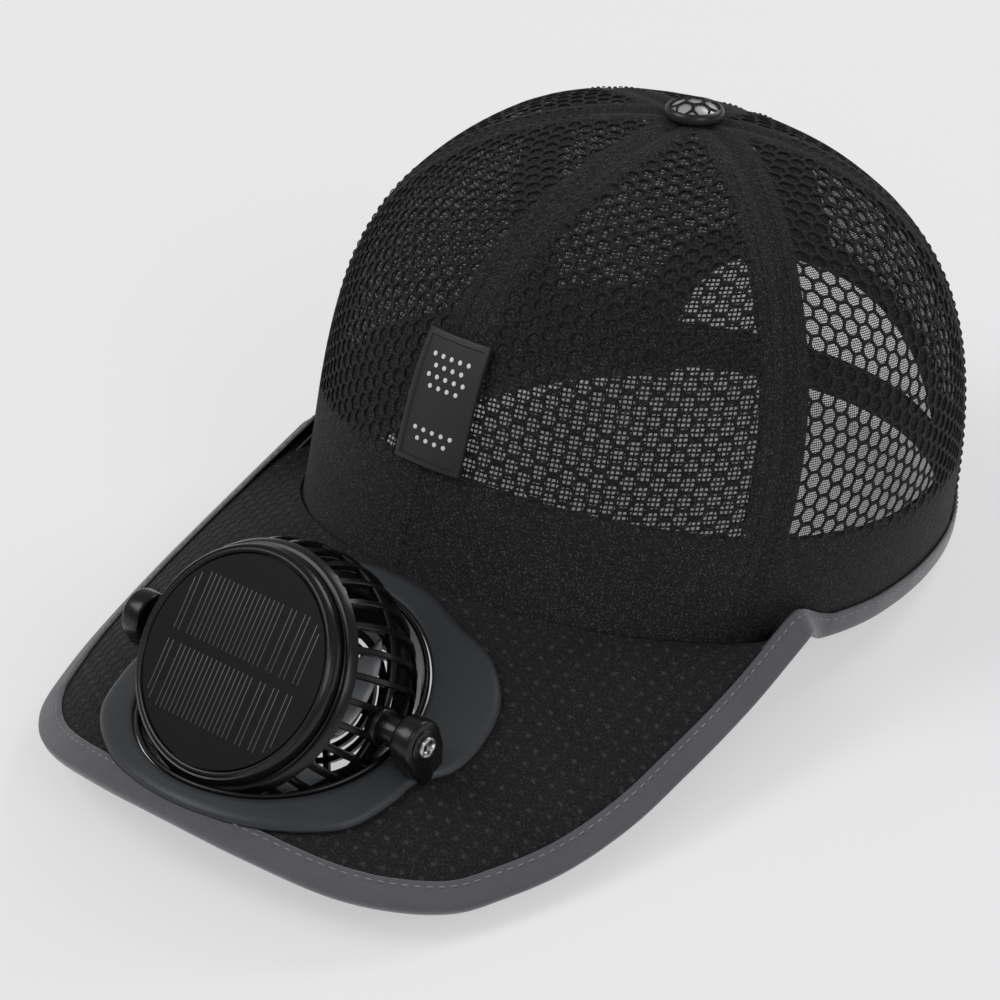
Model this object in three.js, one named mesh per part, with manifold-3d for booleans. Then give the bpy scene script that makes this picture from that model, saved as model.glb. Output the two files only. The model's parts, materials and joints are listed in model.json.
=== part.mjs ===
// Mesh cap with a solar fan in its bill. Millimetres, +Z up, the bill points to -Y.
import * as THREE from 'three';
import { mergeVertices } from 'three/addons/utils/BufferGeometryUtils.js';
import Module from 'manifold-3d';

const wasm = await Module();
wasm.setup();

// Crown, measured at its hem
const CROWN_HALF_WIDTH = 81.7;
const CROWN_HALF_LENGTH = 103.8;
const CROWN_HEIGHT = 113.4;
const APEX_SETBACK = 17.4;
const FRONT_HEM_RISE = 22;
const HEM_RISE_POWER = 1.5;
const PANEL_COUNT = 6;

// Cloth layers
const PANEL_WALL = 1.4;
const LAYER_GAP = 0.6;
const SEAM_GAP = 0.3;
const TAPE_WIDTH = 13;
const TAPE_WALL = 0.8;
const SWEATBAND_TOP = 29;
const SWEATBAND_WALL = 1.2;
const SWEATBAND_END_ANGLE = 126;

// Net gaps of the side and rear panels
const NET_PITCH = 17;
const NET_GAP = 13;

// Rear arch and strap
const ARCH_HALF_WIDTH = 49;
const ARCH_HEIGHT = 52;
const ARCH_POWER = 2.3;
const ARCH_TAPE_WIDTH = 8;
const STRAP_WIDTH = 15.5;
const STRAP_WALL = 1.4;
const STRAP_LAP = 12;
const STRAP_LIFT = 5.5;

// Grey edge binding
const BINDING_LEG = 6.5;
const BINDING_WALL = 0.8;
const BINDING_GAP = 0.4;
const KINK_GAP = 0.35;
const KINK_ANGLE = 7;
const KINK_LEG_SHARE = 0.6;
const ARCH_END_ANGLE = 0.5;

// Button and label
const BUTTON_DIAMETER = 16;
const BUTTON_HEIGHT = 4.6;
const LABEL_WIDTH = 22;
const LABEL_HEIGHT = 38;
const LABEL_WALL = 1.6;
const LABEL_MIDDLE_HEIGHT = 62;

// Bill
const BILL_SLOPE = 22.1;
const BILL_HALF_WIDTH = 83;
const BILL_WALL = 2.2;
const BILL_JOIN_ANGLE = 69;
const ARCH_RADIUS_AT_CROWN = 94;
const ARCH_RADIUS_AT_FRONT = 110;
const ARCH_RADIUS_SETTLES = 60;

// Fan head's own radius, which its hole, its plate and the bill's reach follow
const HEAD_RADIUS = 35;
const HEAD_CLEARANCE = 2.5;
const FAN_HOLE_RADIUS = HEAD_RADIUS + HEAD_CLEARANCE;
const BILL_HOLE_MARGIN = 1;
const HOLE_FROM_CROWN = 2.5;
const FAN_FORWARD = HOLE_FROM_CROWN + BILL_HOLE_MARGIN + FAN_HOLE_RADIUS;

// Fan base plate and its ears
const PLATE_WALL = 2;
const PLATE_SIDE_LAND = 14.5;
const PLATE_FRONT_LAND = 2;
const PLATE_BACK_LAND = 5.5;
const PLATE_HALF_WIDTH = FAN_HOLE_RADIUS + PLATE_SIDE_LAND;
const PLATE_FRONT_REACH = FAN_HOLE_RADIUS + PLATE_FRONT_LAND;
const PLATE_BACK_REACH = FAN_HOLE_RADIUS + PLATE_BACK_LAND;
const BILL_BORDER = 8.5;
const BILL_REACH = FAN_FORWARD + PLATE_FRONT_REACH + BILL_BORDER;
const SEAT_GAP = 0.3;
const PIVOT_LIFT = 1;
const EAR_WALL = 6;
const EAR_WIDTH = 13;
const EAR_GAP = 1.6;
const EAR_SKIRT = 20;
const EAR_FLARE = 1.15;
const SCREW_HEAD_DIAMETER = 5.6;
const SCREW_HEAD_WALL = 1.2;
const SCREW_SHANK_DIAMETER = 2.8;
const SCREW_REACH = 4;
const SCREW_END_GAP = 1;
const RECESS_DEPTH = 0.7;
const RECESS_LENGTH = 3.5;
const RECESS_WIDTH = 0.9;

// Fan head
const HEAD_TILT = 34;
const CAGE_WALL = 2;
const RIB_COUNT = 32;
const RIB_WIDTH = 1.7;
const COLLAR_HEIGHT = 2.6;
const DISC_HEIGHT = 20;
const BEZEL_HEIGHT = 4.4;
const COLLAR_STEP = 1.5;
const COLLAR_TOP = DISC_HEIGHT - BEZEL_HEIGHT - SEAT_GAP;
const COLLAR_BOTTOM = COLLAR_TOP - COLLAR_HEIGHT;
const DISC_RADIUS = sphereRadius(HEAD_RADIUS, COLLAR_TOP) - COLLAR_STEP;
const BEZEL_RIM = 2.6;
const BEZEL_EDGE = 0.8;
const SOLAR_WALL = 0.8;
const EQUATOR_HEIGHT = 3.4;
const BOSS_DIAMETER = 8;
const OUTLET_RADIUS = 22;
const OUTLET_DEPTH = 14;
const OUTLET_WALL = 1.6;
const GRILLE_SPOKES = 6;
const GRILLE_RING_RADIUS = 14;
const GRILLE_BAR = 1.6;
const MOTOR_DIAMETER = 14;
const MOTOR_HEIGHT = 9;
const SHAFT_DIAMETER = 2.4;
const BLADE_COUNT = 5;
const BLADE_TIP_GAP = 3;
const BLADE_RADIUS = HEAD_RADIUS - CAGE_WALL - BLADE_TIP_GAP;
const BLADE_WALL = 1.3;
const BLADE_DEPTH = 9;
const BLADE_ROOT_SPREAD = 58;
const BLADE_TIP_SPREAD = 50;
const BLADE_SWEEP = 14;
const BLADE_CAMBER = 0.8;
const HUB_DIAMETER = 18;
const HUB_HEIGHT = 9;
const HUB_BORE_DEPTH = 7.2;
const RUNNING_GAP = 0.4;

// Fineness of the faceted pieces
const PANEL_COLUMNS = 10;
const BILL_COLUMNS = 32;
const HOLE_SEGMENTS = 40;
const PLATE_SEGMENTS = 42;
const DISC_SEGMENTS = 32;
const BAR_SEGMENTS = 20;
const SMALL_SEGMENTS = 12;

// The wearer's two sides along X
const LEFT_SIDE = 1;
const RIGHT_SIDE = -1;

const radians = THREE.MathUtils.degToRad;
const lerp = THREE.MathUtils.lerp;
const point = (x, y, z) => new THREE.Vector3(x, y, z);

// Finishes
function finish(color, roughness, metalness = 0) {
  return new THREE.MeshStandardMaterial({ color, roughness, metalness });
}
const CLOTH = finish(0x1d1e20, 0.9);
const TAPE = finish(0x161719, 0.85);
const BINDING = finish(0x6b696d, 0.55);
const RUBBER = finish(0x1c1d20, 0.6);
const PLATE = finish(0x3f4347, 0.5);
const GLOSS = finish(0x121214, 0.2);
const SOLAR = finish(0x17181b, 0.25);
const BLADE = finish(0x55585c, 0.25);
const STEEL = finish(0xb9bbbd, 0.3, 1);

// Mesh helpers

function solidOf(geometry) {
  const bare = geometry.index ? geometry.clone() : geometry;
  bare.deleteAttribute('normal');
  bare.deleteAttribute('uv');
  const merged = mergeVertices(bare, 1e-4);
  return new wasm.Manifold(new wasm.Mesh({
    numProp: 3,
    vertProperties: new Float32Array(merged.attributes.position.array),
    triVerts: new Uint32Array(merged.index.array),
  }));
}

function geometryOf(solid) {
  const { vertProperties, triVerts } = solid.getMesh();
  const geometry = new THREE.BufferGeometry();
  geometry.setAttribute('position', new THREE.BufferAttribute(new Float32Array(vertProperties), 3));
  geometry.setIndex(new THREE.BufferAttribute(new Uint32Array(triVerts), 1));
  geometry.computeVertexNormals();
  return geometry;
}

function join(solids) {
  return solids.reduce((whole, solid) => whole.add(solid));
}

// Closed geometry from corners and triangles, its faces turned outward
function closedGeometry(corners, triangles) {
  let volume = 0;
  for (let i = 0; i < triangles.length; i += 3) {
    const [a, b, c] = [corners[triangles[i]], corners[triangles[i + 1]], corners[triangles[i + 2]]];
    volume += a.dot(b.clone().cross(c));
  }
  if (volume < 0) triangles.reverse();
  const geometry = new THREE.BufferGeometry();
  geometry.setAttribute('position', new THREE.Float32BufferAttribute(corners.flatMap((p) => p.toArray()), 3));
  geometry.setIndex(triangles);
  geometry.computeVertexNormals();
  return geometry;
}

// Wall between two sheets, each a function of the shares across and along
function wall(outer, inner, columns, rows) {
  const corners = [];
  for (const sheet of [outer, inner]) {
    for (let j = 0; j <= rows; j += 1) {
      for (let i = 0; i <= columns; i += 1) corners.push(sheet(i / columns, j / rows));
    }
  }
  const across = columns + 1;
  const below = across * (rows + 1);
  const triangles = [];
  const quad = (a, b, c, d) => triangles.push(a, b, c, a, c, d);
  for (let j = 0; j < rows; j += 1) {
    for (let i = 0; i < columns; i += 1) {
      const a = j * across + i;
      quad(a, a + 1, a + 1 + across, a + across);
      quad(below + a, below + a + across, below + a + 1 + across, below + a + 1);
    }
  }
  for (let i = 0; i < columns; i += 1) {
    quad(i, below + i, below + i + 1, i + 1);
    const top = rows * across + i;
    quad(top, top + 1, below + top + 1, below + top);
  }
  for (let j = 0; j < rows; j += 1) {
    const left = j * across;
    quad(left, left + across, below + left + across, below + left);
    const right = left + columns;
    quad(right, below + right, below + right + across, right + across);
  }
  return closedGeometry(corners, triangles);
}

// Section of corners swept through stations, closed on itself or capped at both ends
function sweep(stations, closed) {
  const corners = stations.flat();
  const sides = stations[0].length;
  const triangles = [];
  const last = closed ? stations.length : stations.length - 1;
  for (let k = 0; k < last; k += 1) {
    const next = (k + 1) % stations.length;
    for (let i = 0; i < sides; i += 1) {
      const j = (i + 1) % sides;
      const [a, b, c, d] = [k * sides + i, k * sides + j, next * sides + j, next * sides + i];
      triangles.push(a, b, c, a, c, d);
    }
  }
  return { corners, sides, triangles };
}

// Turned piece about Z from a closed profile of radius and height pairs
function turned(profile, segments) {
  const points = profile.map(([radius, height]) => new THREE.Vector2(radius, height));
  points.push(points[0].clone());
  const geometry = new THREE.LatheGeometry(points, segments);
  geometry.rotateX(Math.PI / 2);
  const solid = solidOf(geometry);
  return solid.volume() < 0 ? solidOf(flipped(geometry)) : solid;
}

function flipped(geometry) {
  const index = Array.from(geometry.index.array).reverse();
  geometry.setIndex(index);
  return geometry;
}

// Round bar along X between two places
function barAlongX(diameter, from, to, segments) {
  const geometry = new THREE.CylinderGeometry(diameter / 2, diameter / 2, Math.abs(to - from), segments);
  geometry.rotateZ(Math.PI / 2);
  geometry.translate((from + to) / 2, 0, 0);
  return solidOf(geometry);
}

// Round bar along Z between two heights
function barAlongZ(diameter, from, to, segments) {
  const geometry = new THREE.CylinderGeometry(diameter / 2, diameter / 2, to - from, segments);
  geometry.rotateX(Math.PI / 2);
  geometry.translate(0, 0, (from + to) / 2);
  return solidOf(geometry);
}

function box(sizeX, sizeY, sizeZ, x, y, z) {
  const geometry = new THREE.BoxGeometry(sizeX, sizeY, sizeZ);
  geometry.translate(x, y, z);
  return solidOf(geometry);
}

function named(name, geometry, material) {
  const mesh = new THREE.Mesh(geometry, material.clone());
  mesh.name = name;
  return mesh;
}

// Crown form: how far each side still reaches at a share of the height
const CLOSING = {
  front: { power: 5.17, root: 1.84, fullness: -0.096 },
  side: { power: 4.5, root: 2.52, fullness: 0.071 },
  back: { power: 1.0, root: 2.32, fullness: -0.043 },
};
const APEX_SHARE = 0.9997;
const CROWN_TOP = CROWN_HEIGHT * APEX_SHARE;

function reach({ power, root, fullness }, share) {
  const bulge = Math.max(4 * share * (1 - share), 0);
  return (1 - share ** power) ** (1 / root) + fullness * bulge;
}

// Angle 0 is the front centre and grows towards +X
function crownPoint(angle, z) {
  const share = THREE.MathUtils.clamp(z / CROWN_HEIGHT, 0, APEX_SHARE);
  const end = Math.cos(angle) > 0 ? CLOSING.front : CLOSING.back;
  return point(
    CROWN_HALF_WIDTH * reach(CLOSING.side, share) * Math.sin(angle),
    -CROWN_HALF_LENGTH * reach(end, share) * Math.cos(angle) + APEX_SETBACK * share,
    z,
  );
}

function crownTangents(angle, z) {
  const step = 0.01;
  const low = Math.min(z, CROWN_TOP - step);
  const around = crownPoint(angle + step, low).sub(crownPoint(angle - step, low)).normalize();
  const up = crownPoint(angle, low + step).sub(crownPoint(angle, low - step)).normalize();
  return { around, up, normal: around.clone().cross(up).normalize() };
}

function crownAt(angle, z, offset) {
  return crownPoint(angle, z).addScaledVector(crownTangents(angle, z).normal, offset);
}

// Lower edge of the panels: raised at the front, and the binding's own edge below it
function hemHeight(angle) {
  const edge = BINDING_WALL + BINDING_GAP;
  return edge + FRONT_HEM_RISE * Math.max(Math.cos(angle), 0) ** HEM_RISE_POWER;
}

function radiusAt(angle, z) {
  const place = crownPoint(angle, z);
  return Math.hypot(place.x, place.y - APEX_SETBACK * z / CROWN_HEIGHT);
}

// Rows of a panel from the hem to the apex, as shares of the height above the hem
const PANEL_ROWS = [
  { start: 0, open: false },
  { start: 0.075, open: false },
  { start: 0.25, open: true },
  { start: 0.41, open: true },
  { start: 0.57, open: true },
  { start: 0.73, open: true },
  { start: 0.865, open: true },
  { start: 0.95, open: false },
  { start: 0.99, open: false },
  { start: 1, open: false },
];

function rowHeight(angle, row) {
  return lerp(hemHeight(angle), CROWN_TOP, PANEL_ROWS[row].start);
}

// Place on a panel between two seams, kept clear of the next panel
function panelPlace({ from, to }, across, share, offset) {
  const middle = (from + to) / 2;
  const angle = lerp(from, to, across);
  const z = lerp(hemHeight(angle), CROWN_TOP, share);
  const kept = 1 - SEAM_GAP / radiusAt(angle, z) / (to - from);
  return crownAt(middle + (angle - middle) * kept, z, offset);
}

// Heights of the panel's rows at an angle, above a start
function rowHeights(angle, start) {
  const heights = [start];
  for (let row = 1; row < PANEL_ROWS.length - 1; row += 1) {
    const height = rowHeight(angle, row);
    if (height > start + PANEL_WALL) heights.push(height);
  }
  return heights;
}

// Rear arch, half an oval standing on the hem
function archPoint(turn, outward) {
  const side = Math.sign(Math.sin(turn)) * Math.abs(Math.sin(turn)) ** (2 / ARCH_POWER);
  const rise = Math.abs(Math.cos(turn)) ** (2 / ARCH_POWER);
  return new THREE.Vector2((ARCH_HALF_WIDTH + outward) * side, (ARCH_HEIGHT + outward) * rise);
}

function archCutter() {
  const outline = [new THREE.Vector2(-ARCH_HALF_WIDTH, -BINDING_LEG)];
  const steps = 20;
  for (let i = 0; i <= steps; i += 1) outline.push(archPoint(Math.PI * (i / steps - 0.5), 0));
  outline.push(new THREE.Vector2(ARCH_HALF_WIDTH, -BINDING_LEG));
  const depth = CROWN_HALF_LENGTH;
  const geometry = new THREE.ExtrudeGeometry(new THREE.Shape(outline), { depth, bevelEnabled: false });
  geometry.rotateX(Math.PI / 2);
  geometry.translate(0, depth + BINDING_LEG, 0);
  return solidOf(geometry);
}

function rearAngle(x, z) {
  const half = CROWN_HALF_WIDTH * reach(CLOSING.side, Math.max(z, 0) / CROWN_HEIGHT);
  return Math.PI - Math.asin(x / half);
}

function clearOfArch(angle, z) {
  if (Math.cos(angle) > 0) return true;
  const place = crownPoint(angle, z);
  const margin = ARCH_TAPE_WIDTH + NET_GAP / 2;
  const side = Math.abs(place.x) / (ARCH_HALF_WIDTH + margin);
  return side ** 2 + (z / (ARCH_HEIGHT + margin)) ** 2 > 1;
}

// Columns that the net gaps of a row take, in staggered groups clear of the tapes
function gapGroups({ from, to }, row) {
  const middle = (from + to) / 2;
  const z = (rowHeight(middle, row) + rowHeight(middle, row + 1)) / 2;
  const column = radiusAt(middle, z) * (to - from) / PANEL_COLUMNS;
  const span = 2 * Math.ceil(NET_PITCH / column / 2);
  const margin = Math.ceil((TAPE_WIDTH / 2) / column);
  const most = Math.floor((PANEL_COLUMNS - 2 * margin) / span);
  const count = most > 1 && row % 2 ? most - 1 : most;
  const first = (PANEL_COLUMNS - count * span) / 2;
  const starts = Array.from({ length: count }, (_, i) => first + i * span);
  const open = (start) => clearOfArch(lerp(from, to, (start + span / 2) / PANEL_COLUMNS), z);
  return starts.filter(open).map((start) => ({ start, span }));
}

// Six-sided gap in the middle of a cell, as shares across and up the panel
function netGap({ from, to }, row, { start, span }) {
  const across = (start + span / 2) / PANEL_COLUMNS;
  const middle = lerp(from, to, across);
  const [low, high] = [PANEL_ROWS[row].start, PANEL_ROWS[row + 1].start];
  const z = (rowHeight(middle, row) + rowHeight(middle, row + 1)) / 2;
  const width = radiusAt(middle, z) * (to - from);
  const upward = (high - low) / (rowHeight(middle, row + 1) - rowHeight(middle, row))
    * crownTangents(middle, z).up.z;
  const radius = NET_GAP / Math.sqrt(3);
  return Array.from({ length: 6 }, (_, side) => {
    const turn = Math.PI * (side / 3 + 1 / 6);
    return {
      across: across + radius * Math.cos(turn) / width,
      share: (low + high) / 2 + radius * Math.sin(turn) * upward,
    };
  });
}

// Panel wall, cell by cell, a cell with a gap cut into triangles round it
function panelWall(seams, net) {
  const corners = [];
  const triangles = [];
  const lastRow = PANEL_ROWS.length - 2;
  const add = (row, start, span, gap) => {
    const [low, high] = [PANEL_ROWS[row].start, PANEL_ROWS[row + 1].start];
    const edge = [];
    for (let i = 0; i <= span; i += 1) edge.push({ across: (start + i) / PANEL_COLUMNS, share: low });
    for (let i = span; i >= 0; i -= 1) edge.push({ across: (start + i) / PANEL_COLUMNS, share: high });
    const places = [...edge, ...gap];
    const flat = (list) => list.map(({ across, share }) => new THREE.Vector2(across, share));
    const first = corners.length;
    const under = first + places.length;
    for (const offset of [0, -PANEL_WALL]) {
      corners.push(...places.map(({ across, share }) => panelPlace(seams, across, share, offset)));
    }
    for (const [a, b, c] of THREE.ShapeUtils.triangulateShape(flat(edge), gap.length ? [flat(gap)] : [])) {
      triangles.push(first + a, first + b, first + c, under + a, under + c, under + b);
    }
    const side = (a, b) => triangles.push(
      first + a, under + a, under + b, first + a, under + b, first + b,
    );
    if (start === 0) side(edge.length - 1, 0);
    if (start + span === PANEL_COLUMNS) side(span, span + 1);
    for (let i = 0; i < span; i += 1) {
      if (row === 0) side(i, i + 1);
      if (row === lastRow) side(span + 1 + i, span + 2 + i);
    }
    gap.forEach((_, i) => side(edge.length + (i + 1) % gap.length, edge.length + i));
  };
  for (let row = 0; row <= lastRow; row += 1) {
    const groups = net && PANEL_ROWS[row].open ? gapGroups(seams, row) : [];
    for (let column = 0; column < PANEL_COLUMNS; column += 1) {
      const group = groups.find(({ start, span }) => start <= column && column < start + span);
      if (!group) add(row, column, 1, []);
      else if (group.start === column) add(row, column, group.span, netGap(seams, row, group));
    }
  }
  return closedGeometry(corners, triangles);
}

// Six panels: two closed ones in front, four of open net
const PANELS = [
  { name: 'crown_panel_front_left', first: 0, net: false, arch: false },
  { name: 'crown_panel_side_left', first: 1, net: true, arch: false },
  { name: 'crown_panel_back_left', first: 2, net: true, arch: true },
  { name: 'crown_panel_back_right', first: 3, net: true, arch: true },
  { name: 'crown_panel_side_right', first: 4, net: true, arch: false },
  { name: 'crown_panel_front_right', first: 5, net: false, arch: false },
];

function crownPanel({ name, first, net, arch }) {
  const step = 2 * Math.PI / PANEL_COUNT;
  const [from, to] = [first * step, (first + 1) * step];
  const solid = solidOf(panelWall({ from, to }, net));
  return named(name, geometryOf(arch ? solid.subtract(archCutter()) : solid), CLOTH);
}

// Seam tapes inside the panels, narrowing where they meet under the button
function seamTape(name, angle, low) {
  const outside = -PANEL_WALL - LAYER_GAP;
  const heights = rowHeights(angle, low);
  const rows = heights.length - 1;
  const sheet = (offset) => (across, along) => {
    const z = heights[Math.round(along * rows)];
    const radius = radiusAt(angle, z);
    const width = Math.min(TAPE_WIDTH, 2 * Math.PI * radius / PANEL_COUNT - 3 * LAYER_GAP);
    return crownAt(angle + (across - 0.5) * width / radius, z, offset);
  };
  return named(name, wall(sheet(outside), sheet(outside - TAPE_WALL), 2, rows), TAPE);
}

function seamTapes() {
  const step = 2 * Math.PI / PANEL_COUNT;
  const names = ['front', 'front_left', 'back_left', 'back', 'back_right', 'front_right'];
  return names.map((name, i) => {
    const start = i === PANEL_COUNT / 2
      ? ARCH_HEIGHT + ARCH_TAPE_WIDTH
      : hemHeight(i * step) + SWEATBAND_TOP;
    return seamTape(`seam_tape_${name}`, i * step, start + 4 * LAYER_GAP);
  });
}

function archTape() {
  const outside = -PANEL_WALL - LAYER_GAP;
  const lowest = Math.acos(((BINDING_LEG + 3 * LAYER_GAP) / ARCH_HEIGHT) ** (ARCH_POWER / 2));
  const sheet = (offset) => (across, along) => {
    const place = archPoint(lerp(-lowest, lowest, across), lerp(LAYER_GAP, ARCH_TAPE_WIDTH, along));
    return crownAt(rearAngle(place.x, place.y), place.y, offset);
  };
  return named('arch_tape', wall(sheet(outside), sheet(outside - TAPE_WALL), 22, 1), TAPE);
}

function sweatband() {
  const outside = -PANEL_WALL - LAYER_GAP;
  const end = radians(SWEATBAND_END_ANGLE);
  const sheet = (offset) => (across, along) => {
    const angle = lerp(-end, end, across);
    const z = hemHeight(angle) + lerp(BINDING_LEG + LAYER_GAP, SWEATBAND_TOP, along);
    return crownAt(angle, z, offset);
  };
  return named('sweatband', wall(sheet(outside), sheet(outside - SWEATBAND_WALL), 30, 1), TAPE);
}

function backStrap() {
  const outside = -PANEL_WALL - 2 * LAYER_GAP - Math.max(BINDING_WALL, TAPE_WALL);
  const half = ARCH_HALF_WIDTH + STRAP_LAP;
  const sheet = (offset) => (across, along) => {
    const z = STRAP_LIFT + STRAP_WIDTH * along;
    return crownAt(rearAngle(lerp(half, -half, across), z), z, offset);
  };
  return named('back_strap', wall(sheet(outside), sheet(outside - STRAP_WALL), 14, 1), TAPE);
}

// Button on the apex
function button() {
  const radius = BUTTON_DIAMETER / 2;
  const profile = [
    [0, 0],
    [radius, 0],
    [radius, BUTTON_HEIGHT * 0.3],
    [radius * 0.93, BUTTON_HEIGHT * 0.6],
    [radius * 0.7, BUTTON_HEIGHT * 0.87],
    [radius * 0.38, BUTTON_HEIGHT * 0.97],
    [0, BUTTON_HEIGHT],
  ];
  const mesh = named('crown_button', geometryOf(turned(profile, BAR_SEGMENTS)), CLOTH);
  mesh.position.set(0, APEX_SETBACK, CROWN_HEIGHT + SEAT_GAP);
  return mesh;
}

// Rubber label on the front seam, bent to the crown
function label() {
  const halfAngle = LABEL_WIDTH / 2 / radiusAt(0, LABEL_MIDDLE_HEIGHT);
  const rise = LABEL_HEIGHT * crownTangents(0, LABEL_MIDDLE_HEIGHT).up.z;
  const sheet = (offset) => (across, along) => crownAt(
    lerp(-halfAngle, halfAngle, across),
    LABEL_MIDDLE_HEIGHT + rise * (along - 0.5),
    offset,
  );
  return named('front_label', wall(sheet(LAYER_GAP + LABEL_WALL), sheet(LAYER_GAP), 4, 5), RUBBER);
}

// Bill frame: x across, -y forward from the front join, z off the bill's middle line
const billFrame = new THREE.Group();
billFrame.position.copy(point(0, -CROWN_HALF_LENGTH, FRONT_HEM_RISE));
billFrame.rotation.x = radians(BILL_SLOPE);
billFrame.updateMatrixWorld();
const toBill = (place) => place.clone().applyMatrix4(billFrame.matrixWorld.clone().invert());
const toHem = (place) => place.clone().applyMatrix4(billFrame.matrixWorld);

// The bill is part of a cylinder along its length, flatter towards the front
function archRadius(forward) {
  const share = THREE.MathUtils.clamp(forward / ARCH_RADIUS_SETTLES, 0, 1);
  return lerp(ARCH_RADIUS_AT_CROWN, ARCH_RADIUS_AT_FRONT, share);
}

function onArch(x, forward, offset) {
  const radius = archRadius(forward);
  const lean = x / radius;
  const fall = Math.sqrt(radius ** 2 - x ** 2) - radius;
  return point(x + offset * lean, -forward, fall + offset * Math.sqrt(1 - lean ** 2));
}

// Half outline of the bill from the front centre back to the crown
const BILL_OUTLINE = [
  { side: 0, forward: 1 },
  { side: 0.277, forward: 0.978 },
  { side: 0.53, forward: 0.91 },
  { side: 0.675, forward: 0.82 },
  { side: 0.783, forward: 0.713 },
  { side: 0.85, forward: 0.596 },
  { side: 0.916, forward: 0.421 },
  { side: 0.964, forward: 0.18 },
  { side: 0.982, forward: -0.08 },
  { side: 0.99, forward: -0.36 },
  { side: 1, forward: -0.65 },
];
const outlineCurve = new THREE.CatmullRomCurve3(
  [...BILL_OUTLINE].reverse().map(({ side, forward }) => point(-side, forward, 0)).concat(
    BILL_OUTLINE.slice(1).map(({ side, forward }) => point(side, forward, 0)),
  ),
  false,
  'centripetal',
);

function outlinePoint(share, inset) {
  const place = outlineCurve.getPointAt(share);
  const ahead = outlineCurve.getTangentAt(share);
  const flat = point(place.x * BILL_HALF_WIDTH, place.y * BILL_REACH, 0);
  const inward = point(ahead.y * BILL_REACH, -ahead.x * BILL_HALF_WIDTH, 0).normalize();
  return flat.addScaledVector(inward, inset);
}

function joinPoint(share) {
  const angle = radians(lerp(-BILL_JOIN_ANGLE, BILL_JOIN_ANGLE, share));
  const z = hemHeight(angle) + PANEL_WALL;
  const { up } = crownTangents(angle, z);
  return { top: toBill(crownAt(angle, z, LAYER_GAP)), down: up.multiplyScalar(-1) };
}

// Point of the bill between the join and the edge, on its top face or under it
function billPoint(share, along, offset) {
  const start = joinPoint(share);
  const edge = outlinePoint(share, BINDING_WALL + BINDING_GAP);
  if (along === 0) {
    const seat = toHem(start.top).addScaledVector(start.down, -offset);
    return toBill(seat);
  }
  const x = lerp(start.top.x, edge.x, along);
  const forward = lerp(-start.top.y, edge.y, along);
  const place = onArch(x, forward, offset);
  const startFall = start.top.z - onArch(start.top.x, -start.top.y, 0).z;
  place.z += startFall * (1 - along) ** 2;
  return place;
}

function bill() {
  const top = (across, along) => billPoint(across, along, 0);
  const under = (across, along) => billPoint(across, along, -BILL_WALL);
  const hole = barAlongZ(2 * (FAN_HOLE_RADIUS + BILL_HOLE_MARGIN), -BILL_REACH, BILL_REACH, HOLE_SEGMENTS)
    .translate([0, -FAN_FORWARD, 0]);
  const solid = solidOf(wall(top, under, BILL_COLUMNS, 4)).subtract(hole);
  return named('bill', geometryOf(solid), CLOTH);
}

// Binding: a folded tape over the edge of the bill and on round the hem to the arch
function bindingSection(edge, inward, normal, sheetWall, leg) {
  const near = BINDING_GAP;
  const far = BINDING_GAP + BINDING_WALL;
  const section = [
    [leg, near],
    [leg, far],
    [-far, far],
    [-far, -sheetWall - far],
    [leg, -sheetWall - far],
    [leg, -sheetWall - near],
    [-near, -sheetWall - near],
    [-near, near],
  ];
  return section.map(([depth, height]) => edge.clone()
    .addScaledVector(inward, depth)
    .addScaledVector(normal, height));
}

function hemStation(degrees, leg) {
  const angle = radians(degrees);
  const z = hemHeight(angle);
  const { up, normal } = crownTangents(angle, z);
  return bindingSection(crownPoint(angle, z), up, normal, PANEL_WALL, leg);
}

function billStation(share, leg) {
  const step = 0.004;
  const at = (s, along) => toHem(billPoint(THREE.MathUtils.clamp(s, 0, 1), along, 0));
  const edge = at(share, 1);
  const ahead = at(share + step, 1).sub(at(share - step, 1)).normalize();
  const inside = at(share, 0.9).sub(edge);
  const normal = ahead.clone().cross(inside).normalize();
  const inward = normal.clone().cross(ahead).normalize();
  if (inward.dot(inside) < 0) inward.negate();
  if (normal.z < 0) normal.negate();
  return bindingSection(edge, inward, normal, BILL_WALL, leg);
}

// The binding leaves the bill, steps back over the crown wall and runs on along the hem
const HEM_FROM = BILL_JOIN_ANGLE + KINK_ANGLE;

// Crown wall where the binding passes from the bill to the hem, with a gap all round
function kinkCutter(side) {
  const [from, to] = [radians(BILL_JOIN_ANGLE - 4 * KINK_ANGLE), radians(HEM_FROM + 2 * KINK_ANGLE)];
  const high = 2 * BINDING_LEG + FRONT_HEM_RISE;
  const sheet = (offset) => (across, along) => {
    const angle = side * lerp(from, to, across);
    const z = lerp(hemHeight(angle) - SEAT_GAP, high, along);
    return crownAt(angle, z, offset);
  };
  return solidOf(wall(sheet(KINK_GAP), sheet(-PANEL_WALL - SEAT_GAP), 14, 3));
}

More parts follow.
